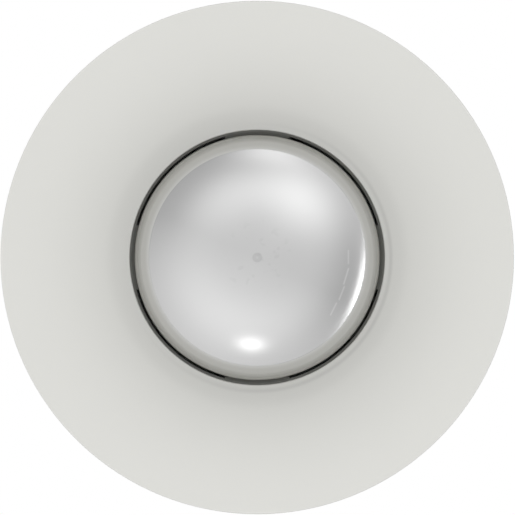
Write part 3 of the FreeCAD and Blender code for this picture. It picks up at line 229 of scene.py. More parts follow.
def effect_group(name, inputs, outputs):
    """An empty node group, its sockets and its tree."""
    group = bpy.data.node_groups.new(name, "ShaderNodeTree")
    for label, kind, value in inputs:
        socket = group.interface.new_socket(label, in_out="INPUT", socket_type=kind)
        socket.default_value = value
    for label, kind in outputs:
        group.interface.new_socket(label, in_out="OUTPUT", socket_type=kind)
    tree = Tree(group)
    start = tree.add("NodeGroupInput")
    end = tree.add("NodeGroupOutput")
    return group, tree, start.outputs, end.inputs


NUMBER = "NodeSocketFloat"
COLOUR = "NodeSocketColor"
VECTOR = "NodeSocketVector"

BLACK = (0.0, 0.0, 0.0)
WHITE = (1.0, 1.0, 1.0)
TIN = (0.62, 0.61, 0.58)

# Grain of the grey mouldings, the cover, and lens and boards in cells to the metre, and its
# height in metres
MOULD_GRAIN = 2500.0
COVER_GRAIN = 1800.0
FINE_GRAIN = 1500.0
GRAIN_HEIGHT = 0.00002

# Cloudiness of a moulding in cells to the metre, and how far grain or scratches change roughness
CLOUD_SCALE = 45.0
GLOSS_SPREAD = 0.12

# Dull patches of a plating: cells to the metre, and levels of the noise that start and end them
DULL_SCALE = 120.0
DULL_LEVELS = (0.45, 0.75)

# Drawing marks along X: cells to the metre on each axis, and strength of their bump
DRAWING_SCALE = (60.0, 2200.0, 2200.0)
SCRATCH_DEPTH = 0.12

# Share of the span over which a painted facet glint has its full strength
FULL_SPAN = 0.8

# Half the width of a sharp change of tone, and of the disc and the edge of a mould mark, in metres
SHARP = 0.00004
MARK_SHARP = 0.00005
MARK_EDGE = 0.00018


def moulded_grain():
    """Slight cloudiness of colour and gloss, and the fine grain of a mould."""
    group, tree, given, result = effect_group(
        "Moulded grain",
        [("Colour", COLOUR, (0.5, 0.5, 0.5, 1.0)), ("Cloud", NUMBER, 0.03),
         ("Roughness", NUMBER, 0.5), ("Grain Scale", NUMBER, MOULD_GRAIN), ("Grain", NUMBER, 0.05)],
        [("Colour", COLOUR), ("Roughness", NUMBER), ("Normal", VECTOR)])
    place = tree.object_place()
    cloud = tree.noise(place, CLOUD_SCALE, detail=3.0)
    fine = tree.noise(place, given["Grain Scale"])
    shade = tree.math("MULTIPLY_ADD", tree.math("SUBTRACT", cloud, 0.5), given["Cloud"], 1.0)
    tone = tree.add("ShaderNodeVectorMath", operation="SCALE")
    tree.feed(tone.inputs[0], given["Colour"])
    tree.feed(tone.inputs["Scale"], shade)
    tree.feed(result["Colour"], tone.outputs[0])
    spread = tree.math("MULTIPLY_ADD", tree.math("SUBTRACT", fine, 0.5), GLOSS_SPREAD,
                       given["Roughness"])
    tree.feed(result["Roughness"], spread)
    bump = tree.add("ShaderNodeBump")
    tree.fill(bump, Strength=given["Grain"], Distance=GRAIN_HEIGHT, Height=fine)
    tree.feed(result["Normal"], bump.outputs[0])
    return group


def plated_metal():
    """Crystals, drawing marks and dull patches of a plated sheet or can."""
    group, tree, given, result = effect_group(
        "Plated metal",
        [("Colour", COLOUR, (0.6, 0.6, 0.58, 1.0)), ("Spangle Scale", NUMBER, 800.0),
         ("Spangle", NUMBER, 0.10), ("Roughness", NUMBER, 0.35), ("Dulling", NUMBER, 0.15)],
        [("Colour", COLOUR), ("Roughness", NUMBER), ("Normal", VECTOR)])
    place = tree.object_place()
    cells = tree.add("ShaderNodeTexVoronoi", feature="F1")
    tree.fill(cells, Vector=place, Scale=given["Spangle Scale"])
    level = tree.add("ShaderNodeSeparateColor")
    tree.feed(level.inputs[0], cells.outputs["Color"])
    dull = tree.noise(place, DULL_SCALE, detail=4.0)
    lines = tree.add("ShaderNodeMapping")
    tree.fill(lines, Vector=place, Scale=DRAWING_SCALE)
    scratch = tree.noise(lines.outputs[0], 1.0)
    shade = tree.math("SUBTRACT", level.outputs[0], 0.5)
    shade = tree.math("MULTIPLY_ADD", shade, given["Spangle"], 1.0)
    worn = tree.math("MULTIPLY", tree.step(dull, *DULL_LEVELS), given["Dulling"])
    shade = tree.math("SUBTRACT", shade, worn)
    tone = tree.add("ShaderNodeVectorMath", operation="SCALE")
    tree.feed(tone.inputs[0], given["Colour"])
    tree.feed(tone.inputs["Scale"], shade)
    tree.feed(result["Colour"], tone.outputs[0])
    rough = tree.math("MULTIPLY_ADD", scratch, GLOSS_SPREAD, given["Roughness"])
    tree.feed(result["Roughness"], tree.math("ADD", rough, worn))
    bump = tree.add("ShaderNodeBump")
    tree.fill(bump, Strength=SCRATCH_DEPTH, Distance=GRAIN_HEIGHT, Height=scratch)
    tree.feed(result["Normal"], bump.outputs[0])
    return group


def axis_distance():
    """Distance from the axis of the lens, angle about it and height."""
    group, tree, _, result = effect_group(
        "Axis distance", [], [("Distance", NUMBER), ("Angle", NUMBER), ("Height", NUMBER)])
    parts = tree.add("ShaderNodeSeparateXYZ")
    tree.feed(parts.inputs[0], tree.object_place())
    x, y, z = parts.outputs
    square = tree.math("ADD", tree.math("MULTIPLY", x, x), tree.math("MULTIPLY", y, y))
    tree.feed(result["Distance"], tree.math("SQRT", square))
    tree.feed(result["Angle"], tree.math("ARCTAN2", tree.math("MULTIPLY", y, -1.0), x))
    tree.feed(result["Height"], z)
    return group


def soft_lamp():
    """Light of one soft studio lamp, by its tilt from the camera side and its turn about it."""
    group, tree, given, result = effect_group(
        "Soft lamp",
        [("Tilt", NUMBER, 60.0), ("Spread", NUMBER, 15.0), ("Turn", NUMBER, 0.0),
         ("Width", NUMBER, 8.0), ("Bend", NUMBER, 0.0), ("Level", NUMBER, 1.0)],
        [("Level", NUMBER)])
    parts = tree.add("ShaderNodeSeparateXYZ")
    tree.feed(parts.inputs[0], tree.add("ShaderNodeTexCoord").outputs["Generated"])
    x, y, z = parts.outputs
    down = tree.math("MULTIPLY", z, -1.0)
    tilt = tree.math("DEGREES", tree.math("ARCCOSINE", down))
    turn = tree.math("RADIANS", given["Turn"])
    angle = tree.math("ARCTAN2", tree.math("MULTIPLY", y, -1.0), x)
    facing = tree.math("COSINE", tree.math("SUBTRACT", angle, turn))
    bend = tree.math("MULTIPLY", tree.math("SUBTRACT", 1.0, facing), given["Bend"])
    away = tree.math("SUBTRACT", tilt, tree.math("ADD", given["Tilt"], bend))
    away = tree.math("DIVIDE", away, given["Spread"])
    ring = tree.math("EXPONENT", tree.math("MULTIPLY", tree.math("MULTIPLY", away, away), -1.0))
    sector = tree.math("POWER", tree.math("MAXIMUM", facing, 0.0), given["Width"])
    level = tree.math("MULTIPLY", tree.math("MULTIPLY", ring, sector), given["Level"])
    tree.feed(result["Level"], level)
    return group


def facet_glint():
    """Painted glint along the edge of a flat facet behind the milky wall: a straight soft line,
    seen over a few degrees.
    """
    group, tree, given, result = effect_group(
        "Facet glint",
        [("Distance", NUMBER, 0.0), ("Angle", NUMBER, 0.0), ("Reach", NUMBER, 0.0184),
         ("Facing", NUMBER, 0.0), ("Middle", NUMBER, 0.0), ("Half Span", NUMBER, 5.0),
         ("Width", NUMBER, 0.0002)],
        [("Mask", NUMBER)])
    lean = tree.math("SUBTRACT", given["Angle"], tree.math("RADIANS", given["Facing"]))
    reach = tree.math("MULTIPLY", given["Distance"], tree.math("COSINE", lean))
    away = tree.math("ABSOLUTE", tree.math("SUBTRACT", reach, given["Reach"]))
    line = tree.step(away, 0.0, given["Width"], 1.0, 0.0)
    turn = tree.math("SUBTRACT", given["Angle"], tree.math("RADIANS", given["Middle"]))
    facing = tree.math("COSINE", turn)
    full = tree.math("MULTIPLY", given["Half Span"], FULL_SPAN)
    inner = tree.math("COSINE", tree.math("RADIANS", full))
    outer = tree.math("COSINE", tree.math("RADIANS", given["Half Span"]))
    tree.feed(result["Mask"], tree.math("MULTIPLY", line, tree.step(facing, outer, inner)))
    return group


def soft_ring():
    """Soft ring round the axis, fading to both ends of its span."""
    group, tree, given, result = effect_group(
        "Soft ring",
        [("Distance", NUMBER, 0.0), ("Angle", NUMBER, 0.0), ("Radius", NUMBER, 0.007),
         ("Middle", NUMBER, 0.0), ("Half Span", NUMBER, 60.0), ("Width", NUMBER, 0.0005)],
        [("Mask", NUMBER)])
    away = tree.math("ABSOLUTE", tree.math("SUBTRACT", given["Distance"], given["Radius"]))
    line = tree.step(away, 0.0, given["Width"], 1.0, 0.0)
    turn = tree.math("SUBTRACT", given["Angle"], tree.math("RADIANS", given["Middle"]))
    outer = tree.math("COSINE", tree.math("RADIANS", given["Half Span"]))
    fade = tree.step(tree.math("COSINE", turn), outer, 1.0)
    tree.feed(result["Mask"], tree.math("MULTIPLY", line, fade))
    return group


def mould_mark():
    """Round mark of an ejector pin or a gate: a flat disc and its thin edge."""
    group, tree, given, result = effect_group(
        "Mould mark", [("X", NUMBER, 0.0), ("Y", NUMBER, 0.0), ("Radius", NUMBER, 0.002)],
        [("Disc", NUMBER), ("Edge", NUMBER)])
    parts = tree.add("ShaderNodeSeparateXYZ")
    tree.feed(parts.inputs[0], tree.object_place())
    x = tree.math("SUBTRACT", parts.outputs[0], given["X"])
    y = tree.math("SUBTRACT", parts.outputs[1], given["Y"])
    square = tree.math("ADD", tree.math("MULTIPLY", x, x), tree.math("MULTIPLY", y, y))
    past = tree.math("SUBTRACT", tree.math("SQRT", square), given["Radius"])
    tree.feed(result["Disc"], tree.step(past, MARK_SHARP, -MARK_SHARP))
    tree.feed(result["Edge"], tree.step(tree.math("ABSOLUTE", past), 0.0, MARK_EDGE, 1.0, 0.0))
    return group


GROUPS = {}


def shared(maker):
    """A shared effect, made the first time it is asked for."""
    if maker.__name__ not in GROUPS:
        GROUPS[maker.__name__] = maker()
    return GROUPS[maker.__name__]


def new_material(name):
    """An empty material with its shader and output."""
    material = bpy.data.materials.new(name)
    material.use_nodes = True
    tree = Tree(material.node_tree)
    shader = tree.add("ShaderNodeBsdfPrincipled")
    output = tree.add("ShaderNodeOutputMaterial")
    tree.feed(output.inputs["Surface"], shader.outputs[0])
    return material, tree, shader


def take(shader, tree, outputs):
    """Give a shader the colour, roughness and normal of an effect."""
    tree.feed(shader.inputs["Base Color"], outputs["Colour"])
    tree.feed(shader.inputs["Roughness"], outputs["Roughness"])
    tree.feed(shader.inputs["Normal"], outputs["Normal"])


def plastic(name, colour, roughness, grain=0.06):
    """A moulded plastic or epoxy."""
    material, tree, shader = new_material(name)
    look = tree.group(shared(moulded_grain), Colour=tuple(colour), Cloud=0.04,
                      Roughness=roughness, Grain_Scale=MOULD_GRAIN, Grain=grain)
    take(shader, tree, look)
    return material


def metal(name, colour, roughness, spangle_size=0.0012, spangle=0.10, dulling=0.15):
    """A plated metal."""
    material, tree, shader = new_material(name)
    look = tree.group(shared(plated_metal), Colour=tuple(colour), Spangle=spangle,
                      Spangle_Scale=1.0 / spangle_size, Roughness=roughness, Dulling=dulling)
    take(shader, tree, look)
    shader.inputs["Metallic"].default_value = 1.0
    return material


def plastic_and_metal(name, colour, roughness, limit):
    """A moulding with bare tinned leads below a height."""
    material, tree, shader = new_material(name)
    body = tree.group(shared(moulded_grain), Colour=tuple(colour), Cloud=0.05,
                      Roughness=roughness, Grain_Scale=MOULD_GRAIN, Grain=0.08)
    bare = tree.group(shared(plated_metal), Colour=TIN, Spangle=0.05,
                      Spangle_Scale=3000.0, Roughness=0.3, Dulling=0.1)
    height = tree.group(shared(axis_distance))["Height"]
    mask = tree.step(height, limit, limit - SHARP)
    tree.feed(shader.inputs["Base Color"], tree.mix(mask, body["Colour"], bare["Colour"]))
    blend = tree.add("ShaderNodeMix", data_type="FLOAT")
    tree.feed(blend.inputs["Factor"], mask)
    tree.feed(blend.inputs[2], body["Roughness"])
    tree.feed(blend.inputs[3], bare["Roughness"])
    tree.feed(shader.inputs["Roughness"], blend.outputs[0])
    tree.feed(shader.inputs["Metallic"], mask)
    tree.feed(shader.inputs["Normal"], body["Normal"])
    return material


def dress(material, *names):
    """Give carried-over nodes their finished material."""
    for name in names:
        slots = NODES[name].data.materials
        slots.clear()
        slots.append(material)


# Pieces


# Painted shade ring outside the lip, on one side only: its middle and half span in degrees, its
# width in metres
PAINTED_SHADE_MIDDLE = -30.0
PAINTED_SHADE_HALF_SPAN = 150.0
PAINTED_SHADE_WIDTH = 0.0007

# In metres: widths over which the cover's tones change, and where the shade of the opening starts
EDGE_FADE = 0.0003
BORE_FADE = 0.0002
BORE_DEPTH = 0.0001
THROAT_START = 0.003


class DETECTOR_OT_cover(Operator):
    """Finish the white flared cover"""

    bl_idname = "detector.cover"
    bl_label = "Cover"

    def execute(self, context):
        settings = context.scene.detector_cover
        material, tree, shader = new_material("CoverWhite")
        place = tree.group(shared(axis_distance))
        # Painted shade: a soft dark ring outside the lip, fading out on one side
        painted_shade_ring = tree.group(shared(soft_ring), Distance=place["Distance"], Angle=place["Angle"],
                          Radius=settings.painted_shade_radius, Middle=PAINTED_SHADE_MIDDLE,
                          Half_Span=PAINTED_SHADE_HALF_SPAN, Width=PAINTED_SHADE_WIDTH)["Mask"]
        distance = place["Distance"]
        # Painted light: the outer edge is paler, where the rounded rim turns away from the light
        edge = tree.step(distance, settings.edge_radius, settings.edge_radius + EDGE_FADE)
        colour = tree.mix(edge, tuple(settings.colour), tuple(settings.edge_painted_light))
        throat = tree.step(distance, settings.bore_radius + THROAT_START, settings.throat_radius,
                           settings.throat, 0.0)
        # Painted shade along the front edge of the opening, limited to the front by its height
        bore_shade = tree.step(distance, settings.bore_radius, settings.bore_radius + BORE_FADE,
                         settings.bore_painted_shade, 0.0)
        front = tree.step(place["Height"], settings.bore_level, settings.bore_level - BORE_DEPTH)
        bore_shade = tree.math("MULTIPLY", bore_shade, front)
        shade = tree.math("ADD", tree.math("MULTIPLY", painted_shade_ring, settings.painted_shade_ring), throat)
        colour = tree.mix(tree.math("MAXIMUM", shade, bore_shade), colour, BLACK)
        look = tree.group(shared(moulded_grain), Colour=colour, Cloud=0.02,
                          Roughness=settings.roughness, Grain_Scale=COVER_GRAIN,
                          Grain=settings.grain)
        take(shader, tree, look)
        shader.inputs["Specular IOR Level"].default_value = settings.shine
        dress(material, "cover_ring")
        return {"FINISHED"}


# Painted glints: bright reflections off facet edges in the lens, mixed towards white
FACET_GLINTS = (
    # facing, middle and half span in degrees, reach from the axis in metres, strength: set from the
    # ends of four dashes in the photograph
    (0.0, 0.3, 4.9, 0.01843, 0.18),
    (-17.0, -12.0, 6.0, 0.01830, 0.24),
    (-21.5, -22.8, 5.2, 0.01853, 0.22),
    (-26.5, -34.0, 4.9, 0.01845, 0.20),
)
FACET_GLINT_WIDTH = 0.00028

# Widths in metres over which the lens's tones change
GATE_FADE = 0.0001
FILLET_HIGHLIGHT_WIDTH = 0.0009
FOOT_FADE = 0.0003
RIM_FADE = 0.0006

# The paler core of the gate mark, as shares of its radius and of the colour of the cap
CORE_RADIUS = 0.45
CORE_SHARE = 0.6

# The specks: radii in metres where they fade and end, cells to the metre, levels of the noise
SPECK_REACH = (0.0055, 0.0085)
SPECK_SCALE = 620.0
SPECK_LEVELS = (0.60, 0.72)


class DETECTOR_OT_lens(Operator):
    """Finish the milky lens with its polished cap and matt band"""

    bl_idname = "detector.lens"
    bl_label = "Lens"

    def execute(self, context):
        settings = context.scene.detector_lens
        material, tree, shader = new_material("LensMilky")
        place = tree.group(shared(axis_distance))
        distance = place["Distance"]
        edge = settings.cap_radius
        band = tree.step(distance, edge - SHARP, edge + SHARP)
        gate = tree.step(distance, settings.gate_radius + GATE_FADE,
                         settings.gate_radius - GATE_FADE)
        foot = tree.step(distance, settings.shoulder_radius - GATE_FADE,
                         settings.shoulder_radius + FOOT_FADE)
        # Painted highlight on the fillet just outside the cap
        fillet_highlight_mask = tree.step(distance, edge, edge + FILLET_HIGHLIGHT_WIDTH)
        matt = tree.mix(fillet_highlight_mask, tuple(settings.fillet_highlight), tuple(settings.band_colour))
        colour = tree.mix(band, tuple(settings.cap_colour), matt)
        colour = tree.mix(foot, colour, tuple(settings.foot_colour))
        # Painted light on the edge of the foot, where it turns away from the light
        rim = tree.step(distance, settings.edge_radius, settings.edge_radius + RIM_FADE)
        colour = tree.mix(rim, colour, tuple(settings.edge_painted_light))
        colour = tree.mix(gate, colour, tuple(settings.gate_colour))
        core = tree.step(distance, CORE_RADIUS * settings.gate_radius, 0.0, 0.0, CORE_SHARE)
        colour = tree.mix(core, colour, tuple(settings.cap_colour))
        # Painted glints of the facet edges, mixed towards white
        for facing, middle, half, reach, strength in FACET_GLINTS:
            line = tree.group(shared(facet_glint), Distance=distance, Angle=place["Angle"],
                              Facing=facing, Middle=middle, Half_Span=half, Reach=reach,
                              Width=FACET_GLINT_WIDTH)["Mask"]
            colour = tree.mix(tree.math("MULTIPLY", line, strength), colour, WHITE)
        near = tree.step(distance, SPECK_REACH[1], SPECK_REACH[0])
        specks = tree.noise(tree.object_place(), SPECK_SCALE, detail=1.0)
        specks = tree.step(specks, *SPECK_LEVELS)
        specks = tree.math("MULTIPLY", tree.math("MULTIPLY", near, specks), settings.specks)
        colour = tree.mix(specks, colour, BLACK)
        look = tree.group(shared(moulded_grain), Colour=colour, Cloud=0.015, Roughness=0.5,
                          Grain_Scale=FINE_GRAIN, Grain=0.01)
        take(shader, tree, look)
        tree.feed(shader.inputs["Coat Weight"], tree.math("SUBTRACT", 1.0, band))
        shader.inputs["Coat Roughness"].default_value = settings.gloss
        shader.inputs["Coat IOR"].default_value = settings.index
        shader.inputs["Specular IOR Level"].default_value = settings.band_shine
        dress(material, "lens_dome")
        return {"FINISHED"}


# Width in metres over which the tone changes on the ledge and in the slots
LEDGE_FADE = 0.0003


class DETECTOR_OT_housing(Operator):
    """Finish the dark housing that shows as the ring round the lens"""

    bl_idname = "detector.housing"
    bl_label = "Front housing"

    def execute(self, context):
        settings = context.scene.detector_housing
        material, tree, shader = new_material("HousingGrey")
        place = tree.group(shared(axis_distance))
        rim = tree.step(place["Distance"], settings.rim_radius, settings.rim_radius + LEDGE_FADE)
        # Painted shade inside the slots, deeper than the ledge
        slot_shade = tree.step(place["Height"], settings.slot_level,
                           settings.slot_level + LEDGE_FADE)
        colour = tree.mix(rim, tuple(settings.colour), tuple(settings.rim_colour))
        colour = tree.mix(slot_shade, colour, tuple(settings.slot_painted_shade))
        look = tree.group(shared(moulded_grain), Colour=colour, Cloud=0.04,
                          Roughness=settings.roughness, Grain_Scale=MOULD_GRAIN, Grain=0.06)
        take(shader, tree, look)
        shader.inputs["Specular IOR Level"].default_value = settings.shine
        dress(material, "front_housing")
        return {"FINISHED"}


class DETECTOR_OT_frame(Operator):
    """Finish the zinc plated steel frame"""

    bl_idname = "detector.frame"
    bl_label = "Steel frame"

    def execute(self, context):
        settings = context.scene.detector_back
        dress(metal("FrameZinc", settings.zinc_colour, 0.34, spangle_size=settings.spangle,
                    spangle=0.16), "support_frame")
        return {"FINISHED"}


CUP_MARKS = (
    # x, y and radius in metres: three ejector pins and the gate
    (-0.0135, -0.0120, 0.0022),
    (0.0135, -0.0120, 0.0022),
    (0.0, 0.0055, 0.0022),
    (0.0, -0.0060, 0.0010),
)

# In metres: how far under the roof the marks start and are full, and the depth of their edge
ROOF_FADE = (0.0002, 0.0001)
MARK_DENT = 0.00005

# How much darker the edge and the disc of a mark are
MARK_EDGE_SHADE = 0.35
MARK_DISC_SHADE = 0.08


class DETECTOR_OT_cup(Operator):
    """Finish the cup that goes into the ceiling box"""

    bl_idname = "detector.cup"
    bl_label = "Cup"

    def execute(self, context):
        settings = context.scene.detector_back
        material, tree, shader = new_material("CupGrey")
        height = tree.group(shared(axis_distance))["Height"]
        roof = tree.step(height, *(settings.roof_level - fade for fade in ROOF_FADE))
        discs, edges = 0.0, 0.0
        for x, y, radius in CUP_MARKS:
            mark = tree.group(shared(mould_mark), X=x, Y=y, Radius=radius)
            discs = tree.math("MAXIMUM", discs, mark["Disc"])
            edges = tree.math("MAXIMUM", edges, mark["Edge"])
        edges = tree.math("MULTIPLY", edges, roof)
        discs = tree.math("MULTIPLY", discs, roof)
        shade = tree.math("MULTIPLY_ADD", edges, MARK_EDGE_SHADE,
                          tree.math("MULTIPLY", discs, MARK_DISC_SHADE))
        colour = tree.mix(shade, tuple(settings.cup_colour), BLACK)
        look = tree.group(shared(moulded_grain), Colour=colour, Cloud=0.08, Roughness=0.55,
                          Grain_Scale=MOULD_GRAIN, Grain=0.1)
        take(shader, tree, look)
        bump = tree.add("ShaderNodeBump", invert=True)
        tree.fill(bump, Strength=0.4, Distance=MARK_DENT, Height=edges, Normal=look["Normal"])
        tree.feed(shader.inputs["Normal"], bump.outputs[0])
        dress(material, "rear_housing")
        return {"FINISHED"}


class DETECTOR_OT_screws(Operator):
    """Finish the housing and board screws"""

    bl_idname = "detector.screws"
    bl_label = "Screws"

    def execute(self, context):
        settings = context.scene.detector_back
        dress(metal("ScrewZinc", settings.screw_colour, 0.30, spangle_size=0.0008, spangle=0.08,
                    dulling=0.10), "housing_screws", "sensor_board_screws", "power_board_screws")
        return {"FINISHED"}


class DETECTOR_OT_terminals(Operator):
    """Finish the terminal block, its clamps and its screws"""

    bl_idname = "detector.terminals"
    bl_label = "Terminals"

    def execute(self, context):
        settings = context.scene.detector_back
        dress(plastic("BlockGrey", settings.block_colour, 0.5, grain=0.08), "terminal_block")
        dress(metal("ClampBrass", settings.brass_colour, 0.32, spangle_size=0.0009,
                    spangle=0.06), "terminal_clamps")
        dress(metal("TerminalZinc", settings.screw_colour, 0.28, spangle_size=0.0007,
                    spangle=0.08), "terminal_screws")
        return {"FINISHED"}


# Distances from the edge of a copper area, in cells, over which its tone starts and is full
TRACK_EDGE = (0.08, 0.14)


class DETECTOR_OT_boards(Operator):
    """Finish the two circuit boards"""

    bl_idname = "detector.boards"
    bl_label = "Circuit boards"

    def execute(self, context):
        settings = context.scene.detector_board
        material, tree, shader = new_material("BoardMask")
        cells = tree.add("ShaderNodeTexVoronoi", feature="DISTANCE_TO_EDGE")
        tree.fill(cells, Vector=tree.object_place(), Scale=1.0 / settings.track_pitch)
        copper = tree.step(cells.outputs["Distance"], *TRACK_EDGE)
        colour = tree.mix(copper, tuple(settings.mask_colour), tuple(settings.track_colour))
        look = tree.group(shared(moulded_grain), Colour=colour, Cloud=0.06, Roughness=0.32,
                          Grain_Scale=FINE_GRAIN, Grain=0.02)
        take(shader, tree, look)
        dress(material, "sensor_board", "power_board")
        return {"FINISHED"}


class DETECTOR_OT_sensors(Operator):
    """Finish the sensor carrier, the four cans and the small sensors"""

    bl_idname = "detector.sensors"
    bl_label = "Sensors"

    def execute(self, context):
        dress(plastic("CarrierBlack", (0.03, 0.03, 0.03), 0.5), "sensor_carrier")
        dress(metal("CanNickel", (0.66, 0.65, 0.62), 0.25, spangle_size=0.0006, spangle=0.05,
                    dulling=0.08),
              "pir_sensor_east", "pir_sensor_north", "pir_sensor_west", "pir_sensor_south")
        dress(plastic("ReceiverEpoxy", (0.03, 0.012, 0.016), 0.18), "ir_receiver")
        dress(plastic("LightEpoxy", (0.55, 0.53, 0.48), 0.15), "light_sensor")
        dress(plastic("LedEpoxy", (0.55, 0.05, 0.04), 0.15), "status_led")
        return {"FINISHED"}


# Heights in metres below which leads on the power board, header pins and socket tails are bare
POWER_LEADS = 0.0030
HEADER_PINS = 0.0005
SOCKET_TAILS = -0.0079


class DETECTOR_OT_components(Operator):
    """Finish the components of the two boards"""

    bl_idname = "detector.components"
    bl_label = "Components"

    def execute(self, context):
        chips = (
            ("RelayBlue", (0.02, 0.10, 0.28), 0.35, "relay"),
            ("FilmYellow", (0.62, 0.42, 0.05), 0.30, "film_capacitor"),
            ("SleeveBlack", (0.02, 0.02, 0.025), 0.28, "electrolytic_capacitor"),
            ("VaristorBlue", (0.05, 0.12, 0.32), 0.30, "varistor"),
            ("RectifierBlack", (0.025, 0.025, 0.025), 0.45, "bridge_rectifier"),
            ("ResistorGreen", (0.20, 0.32, 0.20), 0.60, "fusible_resistor"),
            ("ChokeFerrite", (0.04, 0.03, 0.03), 0.45, "choke"),
        )
        for name, colour, roughness, node in chips:
            dress(plastic_and_metal(name, colour, roughness, POWER_LEADS), node)
        strip = (0.025, 0.025, 0.025)
        dress(plastic_and_metal("HeaderBlack", strip, 0.4, HEADER_PINS), "board_header")
        dress(plastic_and_metal("SocketBlack", strip, 0.4, SOCKET_TAILS), "board_socket")
        dress(plastic("ChipEpoxy", (0.02, 0.02, 0.022), 0.45), "microcontroller")
        dress(metal("CrystalCan", TIN, 0.25, spangle_size=0.0006, spangle=0.04), "crystal")
        return {"FINISHED"}


# Stage

LAMPS = (
    # tilt, spread and turn in degrees, power of the cosine across, bend in degrees, level:
    # set from where each patch is seen on the lens
    (64.0, 28.0, 50.0, 6.0, 0.0, 3.5),  # upper right
    (90.0, 13.0, 83.0, 18.0, 0.0, 3.0),  # top
    (70.5, 6.0, -94.0, 90.0, 0.0, 6.0),  # small spot at the bottom
    (70.0, 40.0, -115.0, 1.0, 0.0, 2.6),  # lower half
    (89.5, 2.2, -16.0, 11.0, 25.0, 16.0),  # crescent along the right rim
    (88.0, 12.0, 0.0, 1.5, 0.0, 0.45),  # right
    (56.0, 24.0, 105.0, 3.0, 0.0, 2.0),  # upper middle
    (80.0, 20.0, 175.0, 6.0, 0.0, 0.4),  # left
)

# Cosines of the tilt from the camera side over which the levels of the studio change
GLOSS_STEP = (0.15, 0.8)
BACK_GLOSS_STEP = (-0.1, -0.35)
BACK_LIGHT_STEP = (-0.02, 0.02)

# Size and height of the lamp over the back, in metres
TOP_LAMP_SIZE = 0.9
TOP_LAMP_HEIGHT = 1.3

# Width of the camera's sensor in millimetres and its reach in metres
SENSOR_WIDTH = 36.0
CAMERA_REACH = 100.0

# Sides of the floor, and its clouds in cells to the metre and as a share of its colour
FLOOR_SIDES = 96
FLOOR_CLOUD_SCALE = 0.6
FLOOR_CLOUD = 0.97


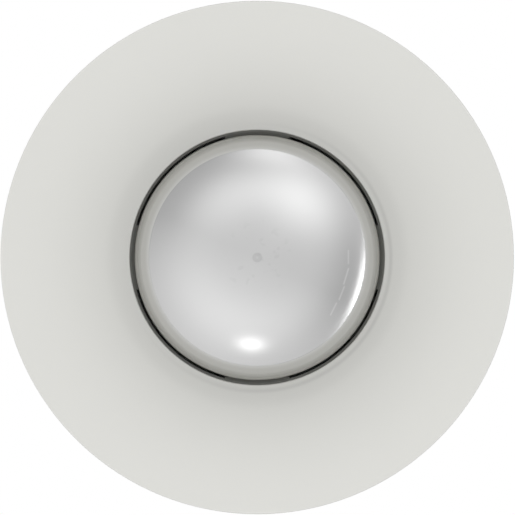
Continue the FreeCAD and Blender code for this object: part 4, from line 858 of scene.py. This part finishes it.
class DETECTOR_OT_stage(Operator):
    """Set the camera, the pale floor and the soft studio light"""

    bl_idname = "detector.stage"
    bl_label = "Stage"

    def execute(self, context):
        settings = context.scene.detector_stage
        self.add_camera(context.scene, settings)
        self.add_floor(settings)
        self.add_top_lamp(context.scene, settings)
        self.add_world(context.scene, settings)
        context.scene.view_settings.view_transform = "Standard"
        return {"FINISHED"}

    def add_camera(self, scene, settings):
        """Long lens below the detector, looking straight up at it."""
        camera = bpy.data.objects.new("Camera", bpy.data.cameras.new("Camera"))
        camera.data.lens = settings.focal_length
        camera.data.sensor_width = SENSOR_WIDTH
        camera.data.clip_end = CAMERA_REACH
        camera.rotation_euler = (math.pi, 0.0, 0.0)
        camera.location = (settings.side_step, 0.0, settings.rim_level - settings.distance)
        scene.collection.objects.link(camera)
        scene.camera = camera

    def add_floor(self, settings):
        """Pale floor far below, white to the camera."""
        bpy.ops.mesh.primitive_circle_add(vertices=FLOOR_SIDES, radius=settings.floor_radius,
                                          fill_type="NGON",
                                          location=(0.0, 0.0, settings.floor_level))
        floor = bpy.context.object
        floor.name = "Floor"
        material, tree, shader = new_material("FloorPale")
        cloud = tree.noise(tree.object_place(), FLOOR_CLOUD_SCALE, detail=3.0)
        shade = tree.mix(cloud, tuple(settings.floor_colour),
                         tuple(level * FLOOR_CLOUD for level in settings.floor_colour))
        tree.feed(shader.inputs["Base Color"], shade)
        shader.inputs["Roughness"].default_value = 0.8
        camera_ray = tree.add("ShaderNodeLightPath").outputs["Is Camera Ray"]
        shader.inputs["Emission Color"].default_value = (*WHITE, 1.0)
        tree.feed(shader.inputs["Emission Strength"], camera_ray)
        floor.data.materials.append(material)
        floor.visible_diffuse = False
        floor.visible_glossy = False
        floor.visible_transmission = False
        floor.visible_shadow = False

    def add_top_lamp(self, scene, settings):
        """Soft lamp over the back of the detector; the front doesn't see it."""
        lamp = bpy.data.lights.new("TopLamp", "AREA")
        lamp.shape = "DISK"
        lamp.size = TOP_LAMP_SIZE
        lamp.energy = settings.top_light
        top = bpy.data.objects.new("TopLamp", lamp)
        top.location = (0.0, 0.0, TOP_LAMP_HEIGHT)
        top.visible_glossy = False
        scene.collection.objects.link(top)

    def add_world(self, scene, settings):
        """White to the camera; soft front light, and soft lamps for the gloss of the lens."""
        world = bpy.data.worlds.new("Studio")
        world.use_nodes = True
        scene.world = world
        tree = Tree(world.node_tree)
        parts = tree.add("ShaderNodeSeparateXYZ")
        tree.feed(parts.inputs[0], tree.add("ShaderNodeTexCoord").outputs["Generated"])
        x, y, z = parts.outputs
        toward = tree.math("MULTIPLY", z, -1.0)
        front = tree.math("MAXIMUM", toward, 0.0)
        side = tree.step(toward, *BACK_LIGHT_STEP, settings.back_light, settings.side_light)
        diffuse = tree.math("MULTIPLY_ADD", front, settings.front_light, side)
        cross = tree.math("SUBTRACT", tree.math("MULTIPLY", x, x), tree.math("MULTIPLY", y, y))
        weight = tree.math("MULTIPLY_ADD", cross, settings.cross_light, 1.0)
        weight = tree.math("MULTIPLY_ADD", x, -settings.left_light, weight)
        weight = tree.math("MULTIPLY_ADD", y, -settings.upper_light, weight)
        diffuse = tree.math("MULTIPLY", diffuse, weight)
        gloss = tree.step(toward, *GLOSS_STEP, settings.side_gloss, settings.front_gloss)
        behind = tree.step(toward, *BACK_GLOSS_STEP, 0.0, settings.back_gloss)
        gloss = tree.math("ADD", gloss, behind)
        for tilt, spread, turn, width, bend, level in LAMPS:
            lamp = tree.group(shared(soft_lamp), Tilt=tilt, Spread=spread, Turn=turn,
                              Width=width, Bend=bend, Level=level)["Level"]
            gloss = tree.math("ADD", gloss, lamp)
        path = tree.add("ShaderNodeLightPath").outputs
        gloss_or_diffuse = tree.mix(path["Is Glossy Ray"], diffuse, gloss)
        clear = tree.math("MAXIMUM", path["Is Camera Ray"], path["Is Transmission Ray"])
        colour = tree.mix(clear, gloss_or_diffuse, WHITE)
        background = tree.add("ShaderNodeBackground")
        tree.feed(background.inputs["Color"], colour)
        output = tree.add("ShaderNodeOutputWorld")
        tree.feed(output.inputs["Surface"], background.outputs[0])


class DETECTOR_PT_panel(Panel):
    """The pieces of the detector, in the sidebar"""

    bl_idname = "DETECTOR_PT_panel"
    bl_label = "Presence detector"
    bl_space_type = "VIEW_3D"
    bl_region_type = "UI"
    bl_category = "Detector"

    def draw(self, context):
        for operator in OPERATORS:
            self.layout.operator(operator.bl_idname)
        for name, group in SETTINGS:
            box = self.layout.box()
            box.label(text=group.__doc__)
            for key in group.__annotations__:
                box.prop(getattr(context.scene, name), key)


OPERATORS = (
    DETECTOR_OT_cover,
    DETECTOR_OT_lens,
    DETECTOR_OT_housing,
    DETECTOR_OT_frame,
    DETECTOR_OT_cup,
    DETECTOR_OT_screws,
    DETECTOR_OT_terminals,
    DETECTOR_OT_boards,
    DETECTOR_OT_sensors,
    DETECTOR_OT_components,
    DETECTOR_OT_stage,
)

SETTINGS = (
    ("detector_cover", CoverSettings),
    ("detector_lens", LensSettings),
    ("detector_housing", HousingSettings),
    ("detector_back", BackSettings),
    ("detector_board", BoardSettings),
    ("detector_stage", StageSettings),
)


def register():
    """Register the settings, the operators and the panel."""
    for name, group in SETTINGS:
        bpy.utils.register_class(group)
        setattr(bpy.types.Scene, name, PointerProperty(type=group))
    for operator in OPERATORS:
        bpy.utils.register_class(operator)
    bpy.utils.register_class(DETECTOR_PT_panel)


def unregister():
    """Take the panel, the operators and the settings off again."""
    bpy.utils.unregister_class(DETECTOR_PT_panel)
    for operator in reversed(OPERATORS):
        bpy.utils.unregister_class(operator)
    for name, group in reversed(SETTINGS):
        delattr(bpy.types.Scene, name)
        bpy.utils.unregister_class(group)


def main():
    """Dress the detector and set the stage."""
    register()
    for operator in OPERATORS:
        group, name = operator.bl_idname.split(".")
        getattr(getattr(bpy.ops, group), name)()


if __name__ == "__main__":
    main()
